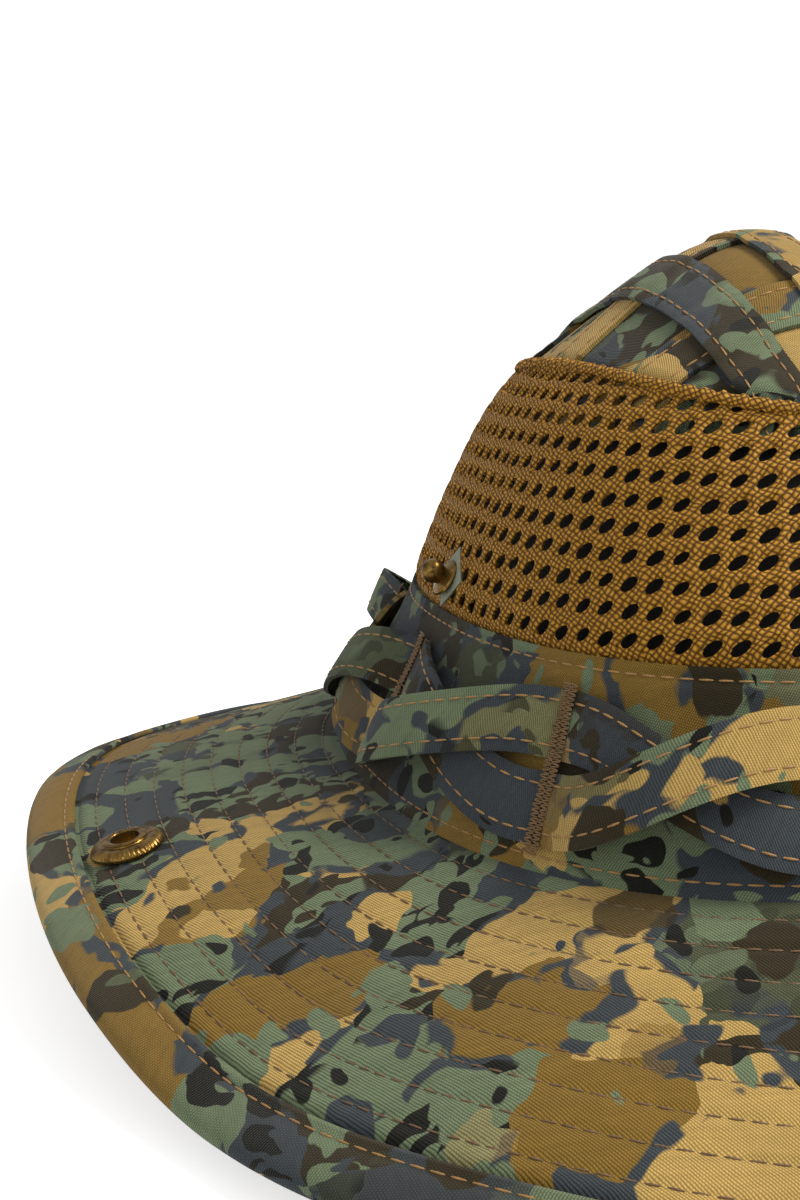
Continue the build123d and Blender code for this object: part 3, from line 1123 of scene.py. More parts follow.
@dataclass
class BrimHalf:
    """One side of the brim. On the real hat this side folds up; nothing here bends it."""

    form: HatForm
    side: Side
    finishes: Finishes
    thickness: float = 2.8 * MM
    binding_width: float = 10.5 * MM
    first_row: float = 4.0 * MM
    row_spacing: float = 6.2 * MM
    row_count: int = 9
    groove: float = 0.30 * MM
    edge_row: float = 1.9 * MM
    edge_row_stand: float = 0.62 * MM
    fold_from: float = 83.0 * MM
    fold_to: float = 103.0 * MM
    steps: tuple = (220, 96)
    layers: tuple = (("cloth", "top_cloth", 0.0, 0.8, Facing.UP, True, "brim", "camo_cloth"),
                     ("stiffener", "interlining", -0.95, 0.9, Facing.UP, False, "interlining", "interlining"),
                     ("underside", "bottom_cloth", -2.8, 0.8, Facing.DOWN, True, "under", "camo_cloth"))

    def turn(self, share: Array) -> Array:
        """Turn of a share of the half, from the front to the back."""
        return 0.5 * share if self.side is Side.RIGHT else 1.0 - 0.5 * share

    def surface(self, share: Array, reach: Array) -> Array:
        """Point of the brim's upper face on this side."""
        return self.form.brim(self.turn(share), reach)

    def off(self, share: Array, reach: Array, stand: Stand) -> tuple:
        """Points and upward normals off the upper face, on this side.

        Args:
            share: shares from the front to the back.
            reach: lengths out from the seam.
            stand: distance off the face.

        Returns:
            The points and normals.
        """
        inner = np.clip(share, 0.001, 0.999)
        _, normal = raised(self.surface, inner, reach, 0.0, turn_over=self.side is Side.LEFT)
        edge = np.abs(share - 0.5) > 0.4989
        normal = np.where(edge[..., None], unit(normal * np.array([0.0, 1.0, 1.0])), normal)
        return self.surface(share, reach) + normal * np.broadcast_to(stand, share.shape)[..., None], normal

    def rows(self) -> Array:
        """Reaches of the stitched rows."""
        return self.first_row + self.row_spacing * np.arange(self.row_count)

    def dip(self, share: Array, reach: Array) -> Array:
        """Depth of the grooves that the rows pull into the cloth.

        Args:
            share: shares from the front to the back.
            reach: lengths out from the seam.

        Returns:
            The depths.
        """
        depth = 0.7 * MM * bell(reach, self.form.brim_width - self.binding_width - 0.5 * MM, 0.9 * MM)
        for i, row in enumerate(self.rows()):
            depth += self.groove * (1 + 0.35 * np.sin(share * 640 + i * 2.4)) * bell(reach, row, 0.8 * MM)
        return depth

    def layer(self, name: str, top: float, thickness: float, facing: Facing, grooved: bool) -> bpy.types.Object:
        """One layer of cloth, its good face a height below the brim's upper face.

        Args:
            name: name of the piece.
            top: height of the good face.
            thickness: of the cloth.
            facing: which way the good face points.
            grooved: whether the rows pull it in.

        Returns:
            The piece.
        """
        low, high = -0.6 * MM, self.form.brim_width - 1.3 * MM

        def shape(u: Array, v: Array) -> tuple:
            """Points and plan places of the layer.

            Args:
                u: shares along.
                v: shares across.

            Returns:
                Points, and places on the cloth.
            """
            reach = low + (high - low) * v
            dip = self.dip(u, reach) if grooved else 0.0
            points = self.off(u, reach, top + (-dip if facing is Facing.UP else dip))[0]
            return points, points[:, :2].copy()

        return cloth_sheet(name, self.steps, shape, facing, thickness)

    def edge_profile(self) -> Array:
        """Folded strip round the edge, as (reach, height) corners.

        Returns:
            The corners in order.
        """
        w, t, b = self.form.brim_width, self.thickness, self.binding_width
        top = [(-b, 0.05), (-b - 0.15 * MM, 0.5), (-b + 0.2 * MM, 1.05), (-b + 0.9 * MM, 1.2),
               (-b + self.edge_row, self.edge_row_stand / MM), (-b + 2.9 * MM, 0.98), (-6.0 * MM, 0.95),
               (-3.5 * MM, 0.85), (-1.9 * MM, 0.5), (-0.8 * MM, -0.05), (-0.2 * MM, -0.8)]
        upper = [(w + x, y * MM) for x, y in top]
        lower = [(x, -t - y) for x, y in reversed(upper)]
        inner = [(w - 1.2 * MM, -t - 0.02 * MM), (w - 1.2 * MM, 0.02 * MM)]
        return np.array(upper + [(w, -t / 2)] + lower + inner)

    def build_layers(self) -> list:
        """Cloth layers and edge strip, each with its material.

        Returns:
            The pieces.
        """
        hand, pieces = self.side.hand, []
        for name, node, top, thickness, facing, grooved, finish, slot in self.layers:
            piece = self.layer(f"brim_{name}_{hand}", top * MM, thickness * MM, facing, grooved)
            pieces.append(dress(piece, getattr(self.finishes, finish), ("brim_" + node, f"{hand}_flap_{node}")))
        strip = swept_strip(f"brim_edge_strip_{hand}", self.edge_profile(), np.linspace(0, 1, 260),
                            lambda a, x, y: self.off(a, x, y)[0])
        return pieces + [dress(strip, self.finishes.binding, ("brim_binding", f"{hand}_flap_binding"))]

    def build_stitches(self) -> list:
        """Rows of thread on both faces and along the edge strip.

        Returns:
            The pieces.
        """
        share = np.linspace(0.0005, 0.9995, 900)
        rows, edge = Stitcher(length=2.5 * MM, pitch=3.2 * MM, radius=0.2 * MM), Stitcher()
        for row in self.rows():
            reach = np.full_like(share, row)
            dip = self.dip(share, reach)
            path, normal = self.off(share, reach, -dip)
            rows.row(path, normal)
            path, normal = self.off(share, reach, -self.thickness + dip)
            rows.row(path, -normal)
        reach = np.full_like(share, self.form.brim_width - self.binding_width + self.edge_row)
        for stand, sign in ((self.edge_row_stand, 1), (-self.thickness - self.edge_row_stand, -1)):
            path, normal = self.off(share, reach, stand)
            edge.row(path, normal * sign)
        return [dress(rows.sew(f"brim_rows_{self.side.hand}"), self.finishes.row_thread),
                dress(edge.sew(f"brim_edge_stitches_{self.side.hand}"), self.finishes.thread)]

    def build(self) -> None:
        """Make this half and bake each piece's place into its mesh."""
        for piece in self.build_layers() + self.build_stitches():
            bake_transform(piece)


@dataclass
class CrownShell:
    """Side band, top panel, the linings inside, and a near-black sheet behind the mesh that is painted shade for the
    inside of the crown.
    """

    form: HatForm
    finishes: Finishes
    band_height: float = 33.0 * MM
    band_thickness: float = 1.2 * MM
    band_stand: float = 0.45 * MM
    row_in: float = 2.2 * MM
    groove: float = 0.28 * MM
    panel_foot: float = 70.0 * MM
    linings: tuple = (("sweat_band", ("sweatband",), -2.6, 30, -1.4, 1.0, 10, "sweatband", "sweatband_cloth"),
                      ("inner_seam_tape", ("crown_seam_tape",), 71, 83, -4.6, 0.8, 6, "lining", "lining_tape"),
                      # Last row: a near-black sheet behind the mesh, painted shade for the inside of the crown.
                      ("crown_shade_backing", (), 29, 80, -3.9, 0.4, 16, "net", "sweatband_cloth"))

    def ring(self, name: str, low: float, high: float, stand: float, thickness: float, steps: tuple,
             relief: Optional[Callable] = None) -> bpy.types.Object:
        """Sheet all round the wall between two climbs, its good face a stand off the wall.

        Args:
            name: name of the piece.
            low: lowest climb.
            high: highest climb.
            stand: of the good face.
            thickness: of the cloth.
            steps: faces round and up.
            relief: height added at a turn and a climb.

        Returns:
            The piece.
        """

        def shape(u: Array, v: Array) -> tuple:
            """Points, and places as length round and climb.

            Args:
                u: shares along.
                v: shares across.

            Returns:
                Points, and places on the cloth.
            """
            turn = u + 0.5
            climb = low + (high - low) * v
            off = stand + (relief(turn, climb) if relief else 0.0)
            return self.form.off_wall(turn, climb, off)[0], np.stack([u * self.form.girth, climb], -1)

        return cloth_sheet(name, steps, shape, Facing.OUT, thickness, closed=True)

    def band_relief(self, turn: Array, climb: Array) -> Array:
        """Soft waves of the side band, and its pressed edges.

        Args:
            turn: turns round the hat.
            climb: lengths up the wall.

        Returns:
            Heights off the band's face.
        """
        wave = 0.35 * MM * np.sin(turn * 2 * math.pi * 23 + climb * 160) * np.sin(turn * 2 * math.pi * 9 + 1)
        inside = ease(2 * MM, 8 * MM, climb) * (1 - ease(26 * MM, 31 * MM, climb))
        grooves = bell(climb, self.top_row(), 0.8 * MM) + bell(climb, self.row_in, 0.8 * MM)
        return wave * inside - self.groove * grooves

    def top_row(self) -> float:
        """Climb of the row of stitches along the band's top."""
        return self.form.climb_of(self.band_height) - self.row_in

    def build_band(self) -> None:
        """Side band with its two rows of stitches."""
        top = self.form.climb_of(self.band_height)
        band = self.ring("side_band", -2.8 * MM, top, self.band_stand, self.band_thickness, (360, 60),
                         self.band_relief)
        dress(band, self.finishes.band, ("lower_side_band",), "crown")
        sewn = Stitcher()
        turn = np.linspace(0.5, 1.5, 1600)
        for climb in (self.top_row(), self.row_in):
            climbs = np.full_like(turn, climb)
            off = self.band_stand + self.band_relief(turn, climbs)
            path, normal = self.form.off_wall(turn, climbs, off)
            sewn.row(path, normal)
        dress(sewn.sew("side_band_stitches"), self.finishes.thread, (), "crown")

    def build_linings(self) -> None:
        """Sweatband, the tape over the inner seam, and a near-black sheet behind the mesh, painted shade for the
        inside of the crown.
        """
        for name, nodes, low, high, stand, thickness, rows, finish, slot in self.linings:
            climbs = (self.form.climb_of(lift * MM) for lift in (low, high))
            piece = self.ring(name, *climbs, stand * MM, thickness * MM, (240, rows))
            dress(piece, getattr(self.finishes, finish), nodes, "crown")

    def build_panel(self) -> None:
        """Top panel, closed over at its pole."""
        low, high = self.form.climb_of(self.panel_foot), self.form.full_climb

        def shape(u: Array, v: Array) -> tuple:
            """Points, and places measured from the pole.

            Args:
                u: shares along.
                v: shares across.

            Returns:
                Points, and places on the cloth.
            """
            climb = np.minimum(low + (high - low) * v, high)
            point = self.form.wall(u, climb)
            inner = np.minimum(climb, high - 0.8 * MM)
            _, normal = self.form.off_wall(u, inner, 0.0)
            normal = np.where((v > 0.985)[:, None], np.array([0, 0, 1.0]), normal)
            far = unit(point[:, :2] + 1e-9) * (high - climb)[:, None]
            sunk = 0.05 * MM + 2.4 * MM * (1 - self.form.clear_of_mesh(point))
            return point - normal * sunk[:, None], far

        panel = cloth_sheet("top_panel", (240, 64), shape, Facing.OUT, 0.9 * MM, closed=True)
        dress(panel, self.finishes.panel, ("crown_top_panel",), "crown")

    def build(self) -> None:
        """Make the shell."""
        self.build_band()
        self.build_linings()
        self.build_panel()


@dataclass
class MeshWall:
    """Open knit between the side band and the top panel, in two halves."""

    form: HatForm
    finishes: Finishes
    pitch: float = 4.85 * MM
    lean: float = 1.13 * MM
    row_rise: float = 4.86 * MM
    hole_long: float = 1.82 * MM
    hole_short: float = 1.02 * MM
    hole_turn: float = 139.0
    side_points: int = 4
    foot: float = 30.5 * MM
    middle_turn: float = 0.155
    tuck: float = 1.5 * MM
    thickness: float = 0.75 * MM
    first_row: float = 1.2 * MM
    crest: float = 0.55 * MM
    full_strand: float = 1.5 * MM

    def top_climb(self, turn: Array) -> Array:
        """Climb of the mesh's upper edge."""
        return self.form.climbs_of(self.form.edge_lift(self.form.oval(turn)[2]))

    def cell(self) -> tuple:
        """Rings of one cell, from its border in to its hole, with the height of each.

        Returns:
            The rings, each with its heights and looseness, and the points in one.
        """
        a, b = np.array([self.pitch, 0.0]), np.array([self.lean, self.row_rise])
        k = self.side_points
        corners = [(-1, -1), (1, -1), (1, 1), (-1, 1)]
        border = np.array([(1 - i / k) * np.array(p) + i / k * np.array(q)
                           for p, q in zip(corners, corners[1:] + corners[:1]) for i in range(k)])
        border = border[:, :1] * a / 2 + border[:, 1:] * b / 2
        tilt = math.radians(self.hole_turn)
        long_way, short_way = np.array([math.cos(tilt), math.sin(tilt)]), np.array([-math.sin(tilt), math.cos(tilt)])
        heading = np.arctan2(border @ short_way / self.hole_short, border @ long_way / self.hole_long)
        hole = (np.cos(heading)[:, None] * long_way * self.hole_long
                + np.sin(heading)[:, None] * short_way * self.hole_short)
        strand = np.linalg.norm(border - hole, axis=1)
        crest = np.clip(strand / self.full_strand, 0.5, 1.0) * self.crest
        rings = [(border, crest, 0.0), ((border + hole) / 2, crest * 0.85, 0.5), (hole, np.zeros(len(hole)), 1.0)]
        return rings, len(border)

    def half(self, side: Side) -> bpy.types.Object:
        """Mesh of one side.

        Args:
            side: which half.

        Returns:
            The piece.
        """
        rings, n = self.cell()
        a, b = np.array([self.pitch, 0.0]), np.array([self.lean, self.row_rise])
        low = self.form.climb_of(self.foot)
        high = float(self.top_climb(np.linspace(0, 0.5, 99)).max())
        rows = int((high - low) / self.row_rise) + 2
        reach = int(0.5 * self.form.girth / self.pitch) + 3
        rng = np.random.default_rng(11 + side.value)
        flats, heights, faces, count = [], [], [], 0
        for j in range(-1, rows + 1):
            for i in range(-reach, reach + 1):
                centre = i * a + j * b
                climb = low + centre[1] + self.first_row
                share = float(self.form.share_of(np.array(climb)))
                turn = self.middle_turn + centre[0] / (self.form.girth * share)
                slack = self.pitch / (self.form.girth * share)
                if not -slack < turn < 0.5 + slack:
                    continue
                edge = float(self.top_climb(np.array([min(max(turn, 0.0), 0.5)]))[0])
                if climb > edge + 0.6 * self.row_rise:
                    continue
                grow, pull = 1 + rng.normal(0, 0.06), rng.normal(0, 0.12 * MM, 2)
                for ring, crest, loose in rings:
                    flats.append(centre + ring * (1 + (grow - 1) * loose) + pull * loose)
                    heights.append(crest + rng.normal(0, 0.05 * MM) * loose)
                faces += [(count + r + k, count + r + (k + 1) % n, count + r + n + (k + 1) % n, count + r + n + k)
                          for r in (0, n) for k in range(n)]
                count += 3 * n
        flat, height = np.concatenate(flats), np.concatenate(heights)
        climb = low + flat[:, 1] + self.first_row
        share = self.form.share_of(climb)
        turn = np.clip(self.middle_turn + flat[:, 0] / (self.form.girth * share), 0, 0.5)
        climb = np.clip(climb, low, self.top_climb(turn))
        stand = 0.35 * MM + height - self.tuck * (1 - ease(2 * MM, 6 * MM, climb - low))
        points, _ = self.form.off_wall(turn, climb, stand)
        if side is Side.LEFT:
            points[:, 0] *= -1
        obj = mesh_object("mesh_half", points, faces, flat)
        edit_all(obj, lambda: bpy.ops.mesh.remove_doubles(threshold=0.03 * MM),
                 lambda: bpy.ops.mesh.dissolve_degenerate(threshold=0.03 * MM))
        obj.data.update()
        face_towards(obj, Facing.OUT)
        thicken(obj, self.thickness)
        return settle(obj, f"mesh_wall_{side.hand}", 60)

    def build(self) -> None:
        """Both sides, the strips over their seams and the rolled edge."""
        for side in Side:
            dress(self.half(side), self.finishes.knit, ("mesh_band",), "crown")
        for name, middle in (("mesh_seam_front", 0.0), ("mesh_seam_back", 0.5)):
            dress(self.seam_strip(name, middle), self.finishes.knit, (), "crown")
        dress(self.selvedge(), self.finishes.knit, (), "crown")

    def selvedge(self) -> bpy.types.Object:
        """Rolled edge along the mesh's top.

        Returns:
            The piece.
        """
        angles = np.linspace(0, 2 * np.pi, 10, endpoint=False)
        profile = np.stack([1.2 * MM * np.cos(angles), 1.0 * MM * np.sin(angles)], -1)
        turns = np.linspace(0, 1, 700)

        def place(a: Array, across: Array, up: Array) -> Array:
            """Points of the roll, slightly uneven.

            Args:
                a: turns round the hat.
                across: lengths across.
                up: heights.

            Returns:
                The points.
            """
            uneven = 1 + 0.14 * np.sin(a * 613) + 0.12 * np.sin(a * 1111 + 2) + 0.08 * np.sin(across * 4000 + a * 700)
            climb = self.top_climb(a) - 0.4 * MM + across * uneven
            return self.form.off_wall(a, climb, 0.9 * MM + up * uneven)[0]

        return swept_strip("mesh_selvedge", profile, turns, place, 70)

    def seam_strip(self, name: str, middle: float) -> bpy.types.Object:
        """Narrow strip that covers a seam between the halves.

        Args:
            name: name of the piece.
            middle: turn of the seam.

        Returns:
            The piece.
        """
        half_width = 3.2 * MM

        def shape(u: Array, v: Array) -> tuple:
            """Points and places of the strip.

            Args:
                u: shares along.
                v: shares across.

            Returns:
                Points, and places on the cloth.
            """
            low = self.form.climb_of(self.foot)
            high = float(self.top_climb(np.array([middle]))[0]) + 0.3 * MM
            climb = low + (high - low) * u
            across = (2 * v - 1) * half_width
            turn = middle + across / (self.form.girth * self.form.share_of(climb))
            stand = 1.0 * MM - 0.25 * MM * np.abs(2 * v - 1) ** 3
            points, _ = self.form.off_wall(turn, climb, stand)
            return points, np.stack([climb, across], -1)

        return cloth_sheet(name, (40, 8), shape, Facing.OUT, 0.8 * MM)


@dataclass
class TopTapes:
    """Lattice of tapes stitched over the top panel."""

    form: HatForm
    finishes: Finishes
    width: float = 11.0 * MM
    thickness: float = 0.9 * MM
    row_in: float = 2.0 * MM
    groove: float = 0.2 * MM
    crossings: tuple = (-31 * MM, 0.0, 31 * MM)
    under_stand: float = 0.3 * MM
    over_stand: float = 1.5 * MM
    dip_between: float = 0.75 * MM
    nodes: tuple = ("across_front", "across_middle", "across_back", "along_right", "along_middle", "along_left")

    def surface(self, along: bool) -> Surface:
        """Crown face as a function of length along a tape and across it.

        Args:
            along: whether the tape runs from front to back.

        Returns:
            The surface.
        """
        if along:
            return lambda s, c: self.form.dome(c, s)
        return lambda s, c: self.form.dome(s, c)

    def build(self) -> None:
        """Each tape over its node, and the thread on all of them."""
        sewn = Stitcher()
        for where in self.nodes:
            along = where.startswith("along")
            low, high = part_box("top_tape_" + where)
            axis, cross = (1, 0) if along else (0, 1)
            middle = (low[cross] + high[cross]) / 2
            ends = low[axis], high[axis]
            base = self.over_stand if along else self.under_stand
            surface = self.surface(along)
            places = np.linspace(*ends, 160)
            run = surface(places, np.full_like(places, middle))
            lengths = run_lengths(run)

            def lay(s: Array, across: Array, stand: Stand) -> tuple:
                """Points and normals of the tape off the panel.

                Args:
                    s: places along.
                    across: lengths across.
                    stand: distance off the face.

                Returns:
                    The points and normals.
                """
                if along:
                    apart = np.min([np.abs(s - y) for y in self.crossings], axis=0)
                    stand = stand - self.dip_between * ease(5 * MM, 9 * MM, apart)
                shown = self.form.clear_of_mesh(surface(s, middle + across))
                stand = stand * shown - (1.0 * MM - stand * 0.1) * (1 - shown)
                return raised(surface, s, middle + across, stand, (0.4 * MM, 0.4 * MM), along)

            def shape(u: Array, v: Array) -> tuple:
                """Points and places of the tape.

                Args:
                    u: shares along.
                    v: shares across.

                Returns:
                    Points, and places on the cloth.
                """
                s = np.interp(u * lengths[-1], lengths, places)
                across = (2 * v - 1) * self.width / 2
                edge = -0.2 * MM * np.abs(2 * v - 1) ** 6
                sewn_in = self.groove * bell(np.abs(across), self.width / 2 - self.row_in, 0.6 * MM)
                points, _ = lay(s, across, base + self.thickness + edge - sewn_in)
                return points, np.stack([u * lengths[-1] + middle, across + middle * 3], -1)

            piece = cloth_sheet("lattice_tape_" + where, (120, 16), shape, Facing.UP, self.thickness)
            dress(piece, self.finishes.top_tape, ("top_tape_" + where,), "crown")
            s = np.linspace(*ends, 500)
            for sign in (-1, 1):
                across = np.full_like(s, sign * (self.width / 2 - self.row_in))
                path, normal = lay(s, across, base + self.thickness - self.groove)
                sewn.row(path, normal * np.sign(normal[:, 2:]), 0.0)
        dress(sewn.sew("lattice_stitches"), self.finishes.thread, (), "crown")


@dataclass
class FoliageTapes:
    """Two tapes that cross between the bartacks round the side band."""

    form: HatForm
    finishes: Finishes
    width: float = 12.5 * MM
    thickness: float = 1.1 * MM
    row_in: float = 2.2 * MM
    groove: float = 0.2 * MM
    low_lift: float = 8.7 * MM
    high_lift: float = 21.4 * MM
    tack_step: float = 0.42 * MM
    tack_apart: float = 0.8 * MM
    tack_stand: float = 2.6 * MM
    tack_slant: float = 0.16
    tacks: tuple = (-90, -55.5, -18.5, 18.5, 55.5, 90, 124.5, 161.5, 198.5, 235.5, 270)
    outer_bulge: tuple = (9.0, 7.5, 8.0, 9.0, 9.5, 8.0, 10.0, 8.0, 8.0, 9.0)
    inner_bulge: tuple = (4.5, 3.0, 3.0, 3.0, 4.0, 5.0, 4.0, 3.0, 3.0, 4.5)
    outer_tones: tuple = ("sand", "slate", "sage", "sand", "sage", "bark", "sage", "slate", "sand", "sage")
    inner_tones: tuple = ("sage", "sand", "bark", "slate", "slate", "sand", "slate", "sage", "bark", "slate")
    skews: tuple = (0.0, 0.06, -0.1, 0.02, -0.16, 0.14, 0.1, -0.08, 0.05, -0.1)

    def turn_of(self, angle: float) -> float:
        """Turn at an even angle.

        Args:
            angle: degrees from the front.

        Returns:
            The turn.
        """
        turns = np.linspace(-0.5, 1.0, 3001)
        angles = np.degrees(np.unwrap(self.form.oval(turns)[2]))
        angles -= angles[1000]
        return float(np.interp(angle, angles, turns))

    def lay(self, cell: int, outer: bool) -> Callable:
        """Surface of one tape in one cell.

        Args:
            cell: number of the cell.
            outer: whether it is the tape that lies outside.

        Returns:
            From shares along and lengths across to points off the wall by a stand.
        """
        first, last = (self.turn_of(a) for a in self.tacks[cell:cell + 2])
        bulge = (self.outer_bulge if outer else self.inner_bulge)[cell] * MM
        start, end = (self.high_lift, self.low_lift) if outer else (self.low_lift, self.high_lift)
        rng = np.random.default_rng(40 + cell * 2 + outer)
        skew, sag, twist = self.skews[cell], rng.uniform(0.4, 1.4) * MM, rng.uniform(-0.25, 0.25)

        def place(u: Array, across: Array, stand: Stand) -> Array:
            """Points of the tape.

            Args:
                u: shares along.
                across: lengths across.
                stand: distance off the face.

            Returns:
                The points.
            """
            s = np.clip(u, 0, 1)
            turn = first + (last - first) * s
            lift = start + (end - start) * ease(0.08, 0.92, s) - sag * np.sin(np.pi * s)
            climb = self.form.climbs_of(lift) + across
            warp = np.clip(s + skew * np.sin(np.pi * s), 0, 1)
            swell = np.sin(np.pi * warp) ** 1.15
            off = 0.9 * MM + bulge * swell * (1 + twist * across / self.width) + stand
            return self.form.off_wall(turn, climb, off)[0]

        return place

    def strip(self, cell: int, outer: bool, sewn: Stitcher) -> bpy.types.Object:
        """One tape of one cell, and its thread.

        Args:
            cell: number of the cell.
            outer: whether it lies outside.
            sewn: takes its thread.

        Returns:
            The piece.
        """
        place = self.lay(cell, outer)
        span = np.linalg.norm(place(np.array([0.0]), np.array([0.0]), 0.0)
                              - place(np.array([1.0]), np.array([0.0]), 0.0))
        base = cell * 61 * MM + (150 * MM if outer else 0)

        def shape(u: Array, v: Array) -> tuple:
            """Points and places of the tape.

            Args:
                u: shares along.
                v: shares across.

            Returns:
                Points, and places on the cloth.
            """
            across = (2 * v - 1) * self.width / 2
            sewn_in = self.groove * bell(np.abs(across), self.width / 2 - self.row_in, 0.6 * MM)
            cup = 0.35 * MM * np.abs(2 * v - 1) ** 4
            points = place(u, across, self.thickness - sewn_in - cup)
            return points, np.stack([base + u * span * 1.1, across + (40 * MM if outer else 0)], -1)

        piece = cloth_sheet(f"tape_{cell}_{outer}", (56, 14), shape, Facing.OUT, self.thickness)
        tone = (self.outer_tones if outer else self.inner_tones)[cell]
        piece.data.materials.append(self.finishes.tapes[tone])
        u = np.linspace(0.02, 0.98, 160)
        for sign in (-1, 1):
            across = np.full_like(u, sign * (self.width / 2 - self.row_in))
            path = place(u, across, self.thickness - self.groove)
            above = place(u, across, self.thickness + 0.8 * MM)
            sewn.row(path, above - path, 0.0)
        return piece

    def joined(self, name: str, strips: list) -> bpy.types.Object:
        """Several strips as one piece.

        Args:
            name: name of the piece.
            strips: the strips.

        Returns:
            The piece.
        """
        take(strips[0])
        for strip in strips[1:]:
            strip.select_set(True)
        bpy.ops.object.join()
        return settle(strips[0], name)

    def build_fixed(self) -> None:
        """Tapes of the cells at the front and the back."""
        for where, cells in (("front", (1, 2, 3)), ("back", (6, 7, 8))):
            sewn = Stitcher()
            for outer in (True, False):
                layer = "outer" if outer else "inner"
                piece = self.joined(f"foliage_{layer}_{where}", [self.strip(c, outer, sewn) for c in cells])
                dress(piece, None, (f"foliage_tape_{layer}_{where}",), "crown")
            dress(sewn.sew(f"foliage_stitches_{where}"), self.finishes.thread, (), "crown")

    def build_loops(self) -> None:
        """Tapes of the four cells at the sides, each tape pair and its thread given a mesh of its own. On the real
        hat they flatten when a side of the brim folds; nothing here flattens them.
        """
        for cell, side in ((0, Side.LEFT), (9, Side.LEFT), (4, Side.RIGHT), (5, Side.RIGHT)):
            sewn = Stitcher()
            piece = self.joined(f"foliage_loops_{side.hand}_{cell}",
                                [self.strip(cell, outer, sewn) for outer in (True, False)])
            dress(piece, None, (f"foliage_loops_{side.hand}",), "crown")
            thread = dress(sewn.sew(f"foliage_loop_stitches_{cell}"), self.finishes.thread, (), "crown")
            middle = self.turn_of(sum(self.tacks[cell:cell + 2]) / 2)
            climb = np.array([self.form.climb_of((self.low_lift + self.high_lift) / 2)])
            point, normal = self.form.off_wall(np.array([middle]), climb, 0.0)
            for obj in (piece, thread):
                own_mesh(obj)

    def build_tacks(self) -> None:
        """Bartacks: two columns of close zigzag thread at each place."""
        tack = Stitcher(length=1.9 * MM, radius=0.21 * MM)
        rng = np.random.default_rng(7)
        low, high = self.low_lift - self.width / 2 - 0.3 * MM, self.high_lift + self.width / 2 + 0.3 * MM
        climbs = np.arange(self.form.climb_of(low), self.form.climb_of(high), self.tack_step)
        for angle in self.tacks[:-1]:
            turn = self.turn_of(angle)
            for column in (-1.0, 1.0):
                jitter = rng.normal(0, 0.10 * MM, len(climbs))
                where = turn + (column * self.tack_apart + jitter) / self.form.girth
                off = self.tack_stand + rng.normal(0, 0.06 * MM, len(climbs))
                centre, normal = self.form.off_wall(where, climbs, off)
                ahead = self.form.wall(where + 1e-3, climbs) - self.form.wall(where - 1e-3, climbs)
                rise = self.form.wall(where, climbs + MM) - self.form.wall(where, climbs - MM)
                slant = self.tack_slant * np.where(np.arange(len(climbs)) % 2 == 0, 1, -1)[:, None]
                tack.add(centre, unit(ahead) + unit(rise) * slant, normal)
        dress(tack.sew("bartack_threads"), self.finishes.tack_thread, ("bartacks",), "crown")

    def build(self) -> None:
        """Make the tapes and their bartacks."""
        self.build_fixed()
        self.build_loops()
        self.build_tacks()


